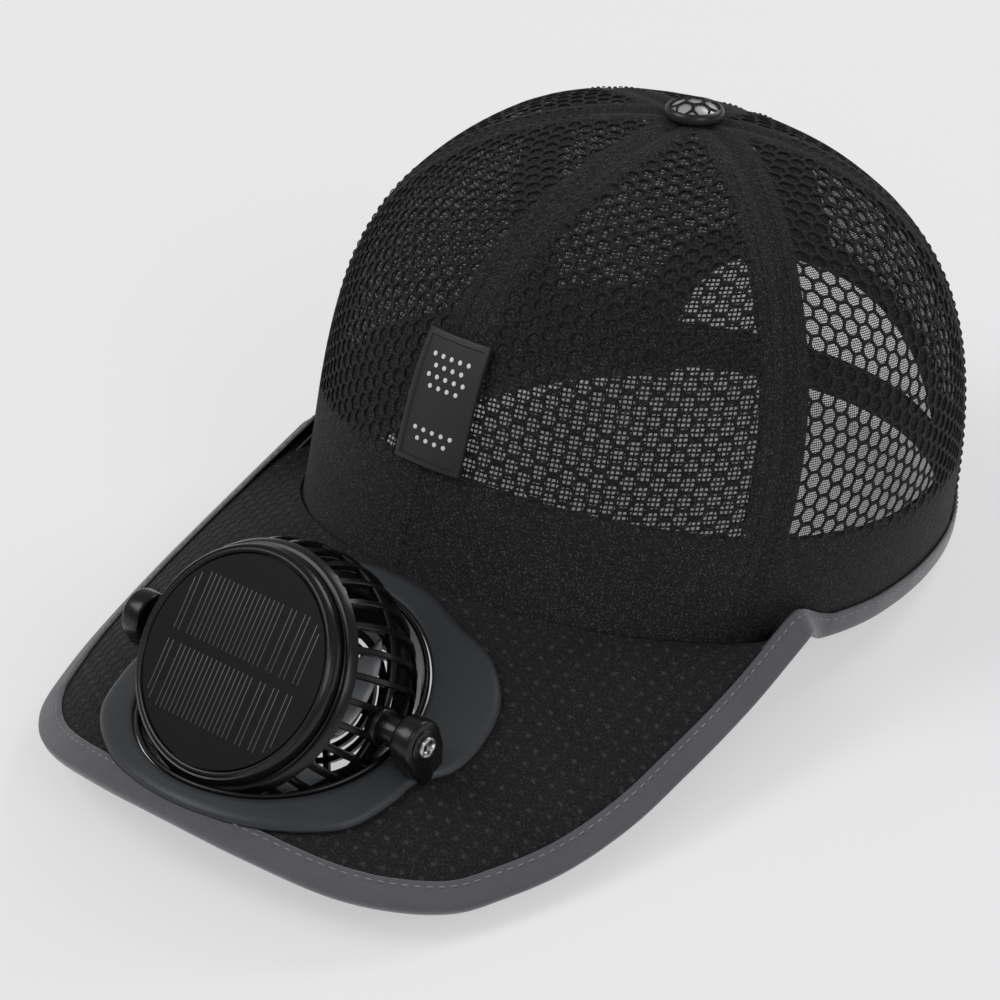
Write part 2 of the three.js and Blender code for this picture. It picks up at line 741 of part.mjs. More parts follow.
function binding() {
  const archEnd = THREE.MathUtils.radToDeg(rearAngle(ARCH_HALF_WIDTH, 0)) - ARCH_END_ANGLE;
  const hemSteps = 9;
  const billSteps = BILL_COLUMNS;
  const stations = [];
  const legAt = (share) => BINDING_LEG * (share === 0 ? KINK_LEG_SHARE : 1);
  for (let i = hemSteps; i >= 0; i -= 1) {
    stations.push(hemStation(-lerp(HEM_FROM, archEnd, i / hemSteps), legAt(i)));
  }
  for (let i = 0; i <= billSteps; i += 1) {
    stations.push(billStation(i / billSteps, legAt(i % billSteps)));
  }
  for (let i = 0; i <= hemSteps; i += 1) {
    stations.push(hemStation(lerp(HEM_FROM, archEnd, i / hemSteps), legAt(i)));
  }
  const { corners, sides, triangles } = sweep(stations, false);
  const faces = [[0, 1, 2], [0, 2, 7], [7, 2, 3], [7, 3, 6], [6, 3, 4], [6, 4, 5]];
  const lastStart = (stations.length - 1) * sides;
  for (const [a, b, c] of faces) {
    triangles.push(a, c, b);
    triangles.push(lastStart + a, lastStart + b, lastStart + c);
  }
  const cutters = [LEFT_SIDE, RIGHT_SIDE].map(kinkCutter);
  const solid = cutters.reduce((rest, cutter) => rest.subtract(cutter),
    solidOf(closedGeometry(corners, triangles)));
  return named('edge_binding', geometryOf(solid), BINDING);
}

// Fan base plate: half its outline round the hole's centre, from the front to the back
const PLATE_OUTLINE = [
  { side: 0, forward: 1 },
  { side: 0.44, forward: 0.9 },
  { side: 0.82, forward: 0.61 },
  { side: 1, forward: 0 },
  { side: 0.99, forward: -0.25 },
  { side: 0.93, forward: -0.68 },
  { side: 0.73, forward: -0.91 },
  { side: 0.46, forward: -0.88 },
  { side: 0.22, forward: -0.96 },
  { side: 0, forward: -1 },
];
const plateCurve = new THREE.CatmullRomCurve3(
  PLATE_OUTLINE.map(({ side, forward }) => point(side, forward, 0)).concat(
    PLATE_OUTLINE.slice(1, -1).reverse().map(({ side, forward }) => point(-side, forward, 0)),
  ),
  true,
  'centripetal',
);

function platePoint(share, along, offset) {
  const edge = plateCurve.getPoint(share);
  const length = edge.y > 0 ? PLATE_FRONT_REACH : PLATE_BACK_REACH;
  const outer = point(edge.x * PLATE_HALF_WIDTH, edge.y * length, 0);
  const inner = outer.clone().setLength(FAN_HOLE_RADIUS);
  const place = inner.lerp(outer, along);
  return onArch(place.x, FAN_FORWARD + place.y, offset);
}

function plateRing(low, high) {
  const steps = PLATE_SEGMENTS;
  const stations = [];
  for (let i = 0; i < steps; i += 1) {
    const at = (along, offset) => platePoint(i / steps, along, offset);
    stations.push([at(0, high), at(0.5, high), at(1, high), at(1, low), at(0.5, low), at(0, low)]);
  }
  const { corners, triangles } = sweep(stations, true);
  return solidOf(closedGeometry(corners, triangles));
}

// Block under the plate, for trimming what stands on it
function belowPlate() {
  const reachAcross = PLATE_HALF_WIDTH + EAR_WALL;
  const sheet = (offset) => (across, along) => onArch(
    lerp(-reachAcross, reachAcross, across),
    FAN_FORWARD + lerp(-EAR_WIDTH, EAR_WIDTH, along),
    offset,
  );
  return solidOf(wall(sheet(SEAT_GAP + PLATE_WALL / 2), sheet(-1.5 * EAR_SKIRT), 24, 2));
}

function earInner() {
  return HEAD_RADIUS + EAR_WALL + EAR_GAP;
}

function ear(side) {
  const half = EAR_WIDTH / 2;
  const shape = new THREE.Shape();
  shape.moveTo(-half * EAR_FLARE, -EAR_SKIRT);
  shape.lineTo(-half, 0);
  shape.absarc(0, 0, half, Math.PI, 0, true);
  shape.lineTo(half * EAR_FLARE, -EAR_SKIRT);
  const geometry = new THREE.ExtrudeGeometry(shape, { depth: EAR_WALL, bevelEnabled: false, curveSegments: 8 });
  geometry.rotateX(Math.PI / 2);
  geometry.rotateZ(Math.PI / 2);
  const solid = solidOf(geometry);
  const start = side === LEFT_SIDE ? earInner() : -earInner() - EAR_WALL;
  const far = earInner() + 2 * EAR_WALL;
  const bore = barAlongX(SCREW_SHANK_DIAMETER + 2 * SEAT_GAP, -far, far, SMALL_SEGMENTS);
  return solid.translate([start, 0, 0]).subtract(bore).translate([0, -FAN_FORWARD, PIVOT_LIFT]);
}

function fanBase() {
  const plate = plateRing(SEAT_GAP, SEAT_GAP + PLATE_WALL);
  const ears = [LEFT_SIDE, RIGHT_SIDE].map((side) => ear(side).subtract(belowPlate()));
  return named('fan_base', geometryOf(join([plate, ...ears])), PLATE);
}

// Pivot screws with a crossed recess, through the ears into the head's bosses
function pivotScrew(name, side) {
  const outer = earInner() + EAR_WALL + SEAT_GAP;
  const face = outer + SCREW_HEAD_WALL;
  const head = barAlongX(SCREW_HEAD_DIAMETER, outer, face, SMALL_SEGMENTS);
  const tip = earInner() - SCREW_REACH;
  const shank = barAlongX(SCREW_SHANK_DIAMETER, tip, face - RECESS_DEPTH, SMALL_SEGMENTS);
  const cross = box(2 * RECESS_DEPTH, RECESS_LENGTH, RECESS_WIDTH, face, 0, 0)
    .add(box(2 * RECESS_DEPTH, RECESS_WIDTH, RECESS_LENGTH, face, 0, 0));
  const solid = head.add(shank).subtract(cross);
  const placed = side === LEFT_SIDE ? solid : solid.rotate([0, 0, 180]);
  const mesh = named(name, geometryOf(placed), STEEL);
  mesh.position.set(0, -FAN_FORWARD, PIVOT_LIFT);
  return mesh;
}

// Fan head, built about the pivot with its axis along Z
function sphereRadius(radius, height) {
  return Math.sqrt(radius ** 2 - height ** 2);
}

// Sections of the cage from the outlet up, with the gaps between the ribs in the middle rows
const CAGE_SECTIONS = [
  { height: -OUTLET_DEPTH, outer: OUTLET_RADIUS, wall: OUTLET_WALL, open: false },
  { height: -EQUATOR_HEIGHT / 2, outer: HEAD_RADIUS, wall: CAGE_WALL, open: false },
  { height: EQUATOR_HEIGHT / 2, outer: HEAD_RADIUS, wall: CAGE_WALL, open: true },
  { height: COLLAR_BOTTOM * 0.6, outer: null, wall: CAGE_WALL, open: true },
  { height: COLLAR_BOTTOM, outer: null, wall: CAGE_WALL, open: false },
  { height: COLLAR_TOP, outer: null, wall: CAGE_WALL, open: false },
];

function cageCorner(section, edge, inside) {
  const { height, outer, wall: thickness } = CAGE_SECTIONS[section];
  const radius = (outer ?? sphereRadius(HEAD_RADIUS, height)) - (inside ? thickness : 0);
  const middle = 2 * Math.PI * (Math.floor(edge / 2) + 0.5) / RIB_COUNT;
  const turn = middle + (edge % 2 ? 1 : -1) * RIB_WIDTH / 2 / HEAD_RADIUS;
  return point(radius * Math.cos(turn), radius * Math.sin(turn), height);
}

// Cage shell: every second column is a rib, and the columns between are open in the middle rows
function cageShell() {
  const columns = 2 * RIB_COUNT;
  const rows = CAGE_SECTIONS.length - 1;
  const kept = (column, row) => row >= 0 && row < rows
    && (column % 2 === 0 || !CAGE_SECTIONS[row].open);
  const corners = [];
  const triangles = [];
  const quad = (...places) => {
    const first = corners.length;
    corners.push(...places);
    triangles.push(first, first + 1, first + 2, first, first + 2, first + 3);
  };
  for (let row = 0; row < rows; row += 1) {
    for (let column = 0; column < columns; column += 1) {
      if (!kept(column, row)) continue;
      const next = (column + 1) % columns;
      const before = (column + columns - 1) % columns;
      const [a, b, c, d] = [[row, column], [row, next], [row + 1, next], [row + 1, column]]
        .map(([section, edge]) => cageCorner(section, edge, false));
      const [e, f, g, h] = [[row, column], [row, next], [row + 1, next], [row + 1, column]]
        .map(([section, edge]) => cageCorner(section, edge, true));
      quad(a, b, c, d);
      quad(e, h, g, f);
      if (!kept(column, row - 1)) quad(a, e, f, b);
      if (!kept(column, row + 1)) quad(d, c, g, h);
      if (!kept(before, row)) quad(a, d, h, e);
      if (!kept(next, row)) quad(b, f, g, c);
    }
  }
  return solidOf(closedGeometry(corners, triangles));
}

function outletGrille() {
  const low = -OUTLET_DEPTH;
  const high = low + GRILLE_BAR;
  const hub = barAlongZ(MOTOR_DIAMETER + 2 * GRILLE_BAR, low, high, BAR_SEGMENTS);
  const ring = turned([
    [GRILLE_RING_RADIUS - GRILLE_BAR / 2, low],
    [GRILLE_RING_RADIUS + GRILLE_BAR / 2, low],
    [GRILLE_RING_RADIUS + GRILLE_BAR / 2, high],
    [GRILLE_RING_RADIUS - GRILLE_BAR / 2, high],
  ], BAR_SEGMENTS);
  const bars = [];
  for (let i = 0; i < GRILLE_SPOKES / 2; i += 1) {
    const bar = box(2 * OUTLET_RADIUS - OUTLET_WALL, GRILLE_BAR, GRILLE_BAR, 0, 0, (low + high) / 2);
    bars.push(bar.rotate([0, 0, 180 * i / (GRILLE_SPOKES / 2)]));
  }
  return join([hub, ring, ...bars]);
}

function boss(side) {
  const end = earInner() - SEAT_GAP;
  const solid = barAlongX(BOSS_DIAMETER, HEAD_RADIUS - CAGE_WALL, end, 16);
  const deepest = earInner() - SCREW_REACH - SCREW_END_GAP;
  const hole = barAlongX(
    SCREW_SHANK_DIAMETER + 2 * SEAT_GAP, deepest, end + SCREW_END_GAP, SMALL_SEGMENTS,
  );
  const bored = solid.subtract(hole);
  return side === LEFT_SIDE ? bored : bored.rotate([0, 0, 180]);
}

function fanCage() {
  const solid = join([cageShell(), outletGrille(), boss(LEFT_SIDE), boss(RIGHT_SIDE)]);
  return named('fan_cage', geometryOf(solid), GLOSS);
}

function solarBezel() {
  const low = DISC_HEIGHT - BEZEL_HEIGHT;
  const floor = DISC_HEIGHT - SOLAR_WALL - 2 * SEAT_GAP;
  const inner = DISC_RADIUS - BEZEL_RIM;
  return named('solar_bezel', geometryOf(turned([
    [0, low],
    [DISC_RADIUS - BEZEL_EDGE, low],
    [DISC_RADIUS, low + BEZEL_EDGE],
    [DISC_RADIUS, DISC_HEIGHT - BEZEL_EDGE],
    [DISC_RADIUS - BEZEL_EDGE, DISC_HEIGHT],
    [inner + BEZEL_EDGE, DISC_HEIGHT],
    [inner, DISC_HEIGHT - BEZEL_EDGE],
    [inner, floor],
    [0, floor],
  ], DISC_SEGMENTS)), GLOSS);
}

function solarPanel() {
  const top = DISC_HEIGHT - SEAT_GAP;
  const radius = DISC_RADIUS - BEZEL_RIM - SEAT_GAP;
  return named('solar_panel', geometryOf(barAlongZ(2 * radius, top - SOLAR_WALL, top, DISC_SEGMENTS)), SOLAR);
}

// Motor on the outlet's hub, with its shaft up into the impeller
function fanMotor() {
  const low = -OUTLET_DEPTH + GRILLE_BAR + SEAT_GAP;
  const tip = low + MOTOR_HEIGHT + HUB_BORE_DEPTH - RUNNING_GAP;
  const solid = barAlongZ(MOTOR_DIAMETER, low, low + MOTOR_HEIGHT, BAR_SEGMENTS)
    .add(barAlongZ(SHAFT_DIAMETER, low + MOTOR_HEIGHT / 2, tip, SMALL_SEGMENTS));
  return named('fan_motor', geometryOf(solid), GLOSS);
}

function bladePoint(across, along, offset) {
  const radius = lerp(HUB_DIAMETER / 2 - BLADE_WALL, BLADE_RADIUS, across);
  const spread = radians(lerp(BLADE_ROOT_SPREAD, BLADE_TIP_SPREAD, across));
  const turn = lerp(-spread / 2, spread / 2, along) + radians(BLADE_SWEEP) * across ** 2;
  const height = lerp(BLADE_DEPTH, 0, along) - BLADE_CAMBER * Math.sin(Math.PI * along);
  return point(radius * Math.cos(turn), radius * Math.sin(turn), height + offset);
}

function impeller() {
  const low = -OUTLET_DEPTH + GRILLE_BAR + SEAT_GAP + MOTOR_HEIGHT + RUNNING_GAP;
  const hub = barAlongZ(HUB_DIAMETER, 0, HUB_HEIGHT, BAR_SEGMENTS);
  const bore = barAlongZ(
    SHAFT_DIAMETER + 2 * RUNNING_GAP, -RUNNING_GAP, HUB_BORE_DEPTH, SMALL_SEGMENTS,
  );
  const blades = [];
  for (let i = 0; i < BLADE_COUNT; i += 1) {
    const blade = solidOf(wall(
      (across, along) => bladePoint(across, along, BLADE_WALL),
      (across, along) => bladePoint(across, along, 0),
      3,
      3,
    ));
    blades.push(blade.rotate([0, 0, 360 * i / BLADE_COUNT]));
  }
  const mesh = named('impeller', geometryOf(join([hub, ...blades]).subtract(bore)), BLADE);
  mesh.position.z = low;
  return mesh;
}

const fanHead = new THREE.Group();
fanHead.add(fanCage(), solarBezel(), solarPanel(), fanMotor(), impeller());
fanHead.position.set(0, -FAN_FORWARD, PIVOT_LIFT);
fanHead.rotation.x = radians(HEAD_TILT);

billFrame.add(
  bill(),
  fanBase(),
  pivotScrew('pivot_screw_left', LEFT_SIDE),
  pivotScrew('pivot_screw_right', RIGHT_SIDE),
  fanHead,
);

const hat = new THREE.Group();
hat.add(
  ...PANELS.map(crownPanel),
  ...seamTapes(),
  archTape(),
  sweatband(),
  backStrap(),
  button(),
  label(),
  binding(),
  billFrame,
);

// At rest the bill's two front corners and the rear hem touch the surface
const MOST_LEAN = 15;

function lowestPoints(group) {
  const low = { front: Infinity, back: Infinity };
  group.updateMatrixWorld(true);
  group.traverse((mesh) => {
    if (!mesh.isMesh) return;
    const places = mesh.geometry.attributes.position;
    const place = point(0, 0, 0);
    for (let i = 0; i < places.count; i += 1) {
      place.fromBufferAttribute(places, i).applyMatrix4(mesh.matrixWorld);
      const end = place.y < 0 ? 'front' : 'back';
      low[end] = Math.min(low[end], place.z);
    }
  });
  return low;
}

function restOnSurface(group) {
  let [least, most] = [0, radians(MOST_LEAN)];
  for (let i = 0; i < 40; i += 1) {
    group.rotation.x = -(least + most) / 2;
    const { front, back } = lowestPoints(group);
    if (front < back) least = -group.rotation.x;
    else most = -group.rotation.x;
  }
  group.updateMatrixWorld(true);
  const bounds = new THREE.Box3().setFromObject(group, true);
  group.position.set(
    -(bounds.min.x + bounds.max.x) / 2,
    -(bounds.min.y + bounds.max.y) / 2,
    -bounds.min.z,
  );
}

restOnSurface(hat);

export default hat;
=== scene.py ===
"""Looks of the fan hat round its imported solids: cloth crown, bill, binding and fan."""

import json
import logging
import math
from dataclasses import dataclass
from enum import Enum
from typing import Callable, Optional, Sequence

import bmesh
import bpy
import numpy as np
from mathutils import Matrix, Vector
from mathutils.bvhtree import BVHTree


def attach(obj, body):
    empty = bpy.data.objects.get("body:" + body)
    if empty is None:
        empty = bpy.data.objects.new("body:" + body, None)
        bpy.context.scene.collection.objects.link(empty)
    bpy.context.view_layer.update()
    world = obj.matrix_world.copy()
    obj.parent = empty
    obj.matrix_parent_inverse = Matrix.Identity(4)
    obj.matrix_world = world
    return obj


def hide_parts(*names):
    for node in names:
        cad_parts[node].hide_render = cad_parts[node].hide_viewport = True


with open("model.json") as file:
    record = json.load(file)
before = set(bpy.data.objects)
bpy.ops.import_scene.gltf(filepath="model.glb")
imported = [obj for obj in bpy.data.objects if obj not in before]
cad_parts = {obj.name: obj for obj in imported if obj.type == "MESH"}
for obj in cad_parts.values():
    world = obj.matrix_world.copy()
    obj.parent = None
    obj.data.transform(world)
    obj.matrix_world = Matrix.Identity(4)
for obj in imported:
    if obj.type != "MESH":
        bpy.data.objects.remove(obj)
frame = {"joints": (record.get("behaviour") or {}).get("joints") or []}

LOG = logging.getLogger("fan_hat")
MM = 0.001
TAU = 2 * math.pi
MERGE = 0.004
Section = Sequence[tuple[float, float]]
Colour = tuple[float, float, float, float]


class Body(Enum):
    """The bodies of the part that pieces ride on."""

    CAP = "cap"
    HEAD = "fan_head"
    IMPELLER = "impeller"


class Side(Enum):
    """The wearer's two sides."""

    LEFT = 1
    RIGHT = -1


class Lining(Enum):
    """Kinds of fine net behind the coarse one: thread pitch in mm, open share and clearness."""

    OPEN = (0.62, 0.5, 0.9)
    DENSE = (1.3, 0.36, 0.42)


# Places and forms shared by the pieces


def turn_about_x(degrees: float) -> np.ndarray:
    """Rotation matrix about X, growing from Y to Z."""
    c, s = math.cos(math.radians(degrees)), math.sin(math.radians(degrees))
    return np.array([[1, 0, 0], [0, c, -s], [0, s, c]])


def unit(vectors: np.ndarray, least: float = 0.0) -> np.ndarray:
    """Vectors made 1 long along the last axis."""
    return vectors / (np.linalg.norm(vectors, axis=-1, keepdims=True) + least)


def run_lengths(line: np.ndarray) -> np.ndarray:
    """Distance from a line's start to each of its points."""
    steps = np.linalg.norm(np.diff(line, axis=-2), axis=-1)
    return np.concatenate([np.zeros_like(steps[..., :1]), np.cumsum(steps, axis=-1)], axis=-1)


def along_line(line: np.ndarray, lengths: np.ndarray, at: np.ndarray) -> np.ndarray:
    """Points of a line at distances from its start."""
    return np.stack([np.interp(at, lengths, line[:, i]) for i in range(line.shape[1])], axis=-1)


@dataclass(frozen=True)
class Place:
    """A frame of the hat, in mm, set in the row frame."""

    turn: np.ndarray
    origin: np.ndarray

    def world(self, points: np.ndarray) -> np.ndarray:
        """Points of this frame in mm as points of the row frame in metres."""
        return (np.asarray(points, float) @ self.turn.T + self.origin) * MM

    def from_world(self, points: np.ndarray) -> np.ndarray:
        """Points of the row frame in metres as points of this frame in mm."""
        return (np.asarray(points, float) / MM - self.origin) @ self.turn

    def matrix(self) -> Matrix:
        """The same change as a matrix for a mesh in mm."""
        full = np.eye(4)
        full[:3, :3] = self.turn * MM
        full[:3, 3] = self.origin * MM
        return Matrix(full.tolist())


@dataclass(frozen=True)
class HatPlaces:
    """The frames of the hem, the bill and the fan head, worked out from the fan's joint."""

    head_tilt: float = 34.0
    bill_slope: float = 22.1
    pivot_in_bill: tuple[float, float, float] = (0.0, -41.0, 1.0)
    join_in_hem: tuple[float, float, float] = (0.0, -103.8, 22.0)

    def build(self) -> tuple[Place, Place, Place]:
        """Works out the three frames.

        Returns:
            The hem's, the bill's and the head's place.
        """
        spin = next(j for j in frame["joints"] if j["name"] == "impeller_spin")
        _, back, up = spin["axis"]
        total = math.degrees(math.atan2(-back, up))
        pivot = np.array(spin["pos_m"]) / MM
        bill_turn = turn_about_x(total - self.head_tilt)
        hem_turn = turn_about_x(total - self.head_tilt - self.bill_slope)
        bill_origin = pivot - bill_turn @ np.array(self.pivot_in_bill)
        hem_origin = bill_origin - hem_turn @ np.array(self.join_in_hem)
        return (
            Place(hem_turn, hem_origin),
            Place(bill_turn, bill_origin),
            Place(turn_about_x(total), pivot),
        )


HEM, BILL, HEAD = HatPlaces().build()


@dataclass(frozen=True)
class Closing:
    """How one side of the crown closes towards its top."""

    power: float
    root: float
    fullness: float

    def reach(self, share: np.ndarray) -> np.ndarray:
        """Share of the full half width left at a share of the height."""
        closed = np.clip(1 - share**self.power, 0, None) ** (1 / self.root)
        return closed + self.fullness * np.clip(4 * share * (1 - share), 0, None)


@dataclass(frozen=True)
class CrownForm:
    """Outer surface of the crown in the hem frame. Angle 0 is the front centre."""

    half_width: float = 81.7
    half_length: float = 103.8
    height: float = 113.4
    apex_setback: float = 17.4
    apex_share: float = 0.9997
    front_hem_rise: float = 16.0
    hem_clearance: float = 1.2
    front: Closing = Closing(5.17, 1.84, -0.096)
    side: Closing = Closing(4.5, 2.52, 0.071)
    back: Closing = Closing(1.0, 2.32, -0.043)
    arch_half_width: float = 49.0
    arch_height: float = 52.0
    arch_power: float = 2.3

    @property
    def top(self) -> float:
        """Highest z of the surface."""
        return self.height * self.apex_share

    def point(self, angle: np.ndarray, z: np.ndarray) -> np.ndarray:
        """Point of the surface.

        Args:
            angle: turn round the crown, in radians.
            z: height over the hem plane, in mm.

        Returns:
            Points, with a last axis of 3.
        """
        angle, z = np.broadcast_arrays(np.asarray(angle, float), np.asarray(z, float))
        share = np.clip(z / self.height, 0, self.apex_share)
        ahead = np.cos(angle)
        end = np.where(ahead > 0, self.front.reach(share), self.back.reach(share))
        x = self.half_width * self.side.reach(share) * np.sin(angle)
        y = -self.half_length * end * ahead + self.apex_setback * share
        return np.stack([x, y, z], axis=-1)

    def tangents(self, angle: np.ndarray, z: np.ndarray) -> tuple[np.ndarray, np.ndarray]:
        """Unit vectors up the surface and out of it.

        Args:
            angle: turn round the crown, in radians.
            z: height over the hem plane, in mm.

        Returns:
            The upward tangent and the outward normal.
        """
        step = 0.05
        high = np.minimum(np.asarray(z, float) + step, self.top)
        around = self.point(angle + 0.002, z) - self.point(angle - 0.002, z)
        up = self.point(angle, high) - self.point(angle, high - 2 * step)
        return unit(up), unit(np.cross(around, up), 1e-12)

    def at(self, angle: np.ndarray, z: np.ndarray, offset: np.ndarray) -> np.ndarray:
        """Point off the surface, outwards for a positive offset."""
        _, normal = self.tangents(angle, z)
        return self.point(angle, z) + normal * np.asarray(offset, float)[..., None]

    def hem(self, angle: np.ndarray) -> np.ndarray:
        """Height of the hem at an angle."""
        ahead = np.clip(np.cos(angle), 0, None)
        return self.hem_clearance + self.front_hem_rise * ahead**1.5

    def radius(self, angle: np.ndarray, z: np.ndarray) -> np.ndarray:
        """Distance of the surface from the crown's own axis."""
        place = self.point(angle, z)
        lean = self.apex_setback * np.asarray(z, float) / self.height
        return np.hypot(place[..., 0], place[..., 1] - lean)

    def rear_angle(self, x: np.ndarray, z: np.ndarray) -> np.ndarray:
        """Angle of the point at x on the back of the crown."""
        wide = self.half_width * self.side.reach(np.clip(z / self.height, 0, 1))
        return math.pi - np.arcsin(np.clip(x / wide, -1, 1))

    def arch(self, turn: np.ndarray, outward: np.ndarray) -> tuple[np.ndarray, np.ndarray]:
        """Edge of the rear opening.

        Args:
            turn: from −90° at one foot to +90° at the other, in radians.
            outward: distance outside the edge, in mm.

        Returns:
            The x and z of the points.
        """
        bend = 2 / self.arch_power
        x = (self.arch_half_width + outward) * np.sign(turn) * np.abs(np.sin(turn)) ** bend
        z = (self.arch_height + outward) * np.abs(np.cos(turn)) ** bend
        return x, z

    def arch_share(self, angle: np.ndarray, z: np.ndarray) -> np.ndarray:
        """Below 1 inside the rear opening, above 1 outside it."""
        place = self.point(angle, z)
        inside = (
            np.abs(place[..., 0] / self.arch_half_width) ** self.arch_power
            + np.abs(z / self.arch_height) ** self.arch_power
        ) ** (1 / self.arch_power)
        return np.where(np.cos(angle) < 0, inside, 2.0)

    def clear_of_arch(self, angle: np.ndarray, z: np.ndarray) -> tuple[np.ndarray, np.ndarray]:
        """Moves places inside the rear opening out onto its edge."""
        share = self.arch_share(angle, z)
        inside = share < 1
        grown = 1 / np.maximum(share, 1e-3)
        x = self.point(angle, z)[..., 0] * grown
        moved_z = np.where(inside, z * grown, z)
        moved = self.rear_angle(x, moved_z)
        moved = np.where(angle > math.pi, 2 * math.pi - self.rear_angle(-x, moved_z), moved)
        return np.where(inside, moved, angle), moved_z


@dataclass(frozen=True)
class BillForm:
    """Top surface of the bill in the bill frame: x across, forward ahead, z up."""

    half_width: float = 89.4
    reach: float = 88.2
    wall: float = 2.2
    droop: float = 2.2
    radius_at_crown: float = 126.4
    radius_at_front: float = 122.6
    radius_settles: float = 60.0
    join_angle: float = 69.0
    edge_inset: float = 1.2
    join_lift: float = 1.4
    join_offset: float = 0.6
    outline: tuple[tuple[float, float], ...] = (
        (0, 1), (0.279, 0.984), (0.539, 0.926), (0.69, 0.838), (0.797, 0.726), (0.857, 0.601),
        (0.919, 0.422), (0.964, 0.18), (0.982, -0.08), (0.99, -0.36), (0.985, -0.64),
    )

    def on_arch(self, x: np.ndarray, forward: np.ndarray, offset: np.ndarray) -> np.ndarray:
        """Point over the bill's own cylinder.

        Args:
            x: across, in mm.
            forward: ahead of the join, in mm.
            offset: above the surface, in mm.

        Returns:
            Points in the bill frame.
        """
        share = np.clip(forward / self.radius_settles, 0, 1)
        radius = self.radius_at_crown + (self.radius_at_front - self.radius_at_crown) * share
        lean = x / radius
        fall = np.sqrt(radius**2 - x**2) - radius
        fall = fall - self.droop * np.clip(forward / self.reach, 0, None) ** 2
        rise = fall + offset * np.sqrt(1 - lean**2)
        return np.stack(np.broadcast_arrays(x + offset * lean, -forward, rise), axis=-1)

    def edge(self, share: np.ndarray, inset: float) -> np.ndarray:
        """Outline of the bill from its right end to its left one, as x and forward."""
        half = np.array(self.outline)
        fine = smooth_line(np.vstack([half[::-1] * (-1, 1), half[1:]]), False, 40)
        lengths = run_lengths(fine)
        lengths /= lengths[-1]
        share = np.clip(share, 0, 1)
        ahead = along_line(fine, lengths, share + 0.002) - along_line(fine, lengths, share - 0.002)
        size = np.array([self.half_width, self.reach])
        inward = np.stack([ahead[..., 1] * size[1], -ahead[..., 0] * size[0]], axis=-1)
        return along_line(fine, lengths, share) * size + unit(inward) * inset

    def join(self, share: np.ndarray) -> np.ndarray:
        """Where the bill's top meets the crown, in the bill frame."""
        angle = np.radians(self.join_angle) * (2 * np.asarray(share, float) - 1)
        place = CROWN.at(angle, CROWN.hem(angle) + self.join_lift, self.join_offset)
        return BILL.from_world(HEM.world(place))

    def point(self, share: np.ndarray, along: np.ndarray, offset: np.ndarray) -> np.ndarray:
        """Point of the bill between the join and the edge.

        Args:
            share: 0 at the right end, 1 at the left end.
            along: 0 at the join, 1 at the edge.
            offset: above the top surface, in mm.

        Returns:
            Points in the bill frame.
        """
        share, along, offset = np.broadcast_arrays(
            *(np.asarray(v, float) for v in (share, along, offset))
        )
        start = self.join(share)
        edge = self.edge(share, self.edge_inset)
        x = start[..., 0] * (1 - along) + edge[..., 0] * along
        forward = -start[..., 1] * (1 - along) + edge[..., 1] * along
        place = self.on_arch(x, forward, offset)
        flat = self.on_arch(start[..., 0], -start[..., 1], np.zeros_like(along))
        place[..., 2] += (start[..., 2] - flat[..., 2]) * (1 - along) ** 2
        return place


CROWN = CrownForm()
BRIM = BillForm()


def smooth_line(points: np.ndarray, closed: bool, steps: int) -> np.ndarray:
    """Centripetal Catmull-Rom line through points.

    Args:
        points: the points, one a row.
        closed: whether the line runs back to its start.
        steps: points made for each stretch.

    Returns:
        The points of the line.
    """
    count = len(points)
    stretches = count if closed else count - 1
    made = []
    for i in range(stretches):
        if closed:
            four = [points[(i + k) % count] for k in (-1, 0, 1, 2)]
        else:
            first = points[i - 1] if i else 2 * points[0] - points[1]
            last = points[i + 2] if i + 2 < count else 2 * points[-1] - points[-2]
            four = [first, points[i], points[i + 1], last]
        knots = [0.0]
        for a, b in zip(four, four[1:]):
            knots.append(knots[-1] + max(np.linalg.norm(b - a), 1e-9) ** 0.5)

        def between(rows: Sequence[np.ndarray], k: int, low: int, high: int, t: float) -> np.ndarray:
            """Mix of two rows by the knots at their ends."""
            ahead = rows[k] * (knots[high] - t) + rows[k + 1] * (t - knots[low])
            return ahead / (knots[high] - knots[low])

        for t in np.linspace(knots[1], knots[2], steps, endpoint=False):
            near = [between(four, k, k, k + 1, t) for k in range(3)]
            far = [between(near, k, k, k + 2, t) for k in range(2)]
            made.append(between(far, 0, 1, 2, t))
    made.append(points[0] if closed else points[-1])
    return np.array(made)


# Mesh making


def linked(name: str, data: object) -> bpy.types.Object:
    """New object of some data, in the scene."""
    made = bpy.data.objects.new(name, data)
    bpy.context.scene.collection.objects.link(made)
    return made


def new_object(name: str, points: np.ndarray, faces: Sequence[Sequence[int]]) -> bpy.types.Object:
    """Mesh object from points and faces, smooth all over.

    Args:
        name: the object's name.
        points: vertex places.
        faces: vertex numbers of each face.

    Returns:
        The object, linked into the scene.
    """
    mesh = bpy.data.meshes.new(name)
    mesh.from_pydata(np.asarray(points, float).tolist(), [], [list(f) for f in faces])
    mesh.validate()
    mesh.polygons.foreach_set("use_smooth", [True] * len(mesh.polygons))
    mesh.update()
    return linked(name, mesh)


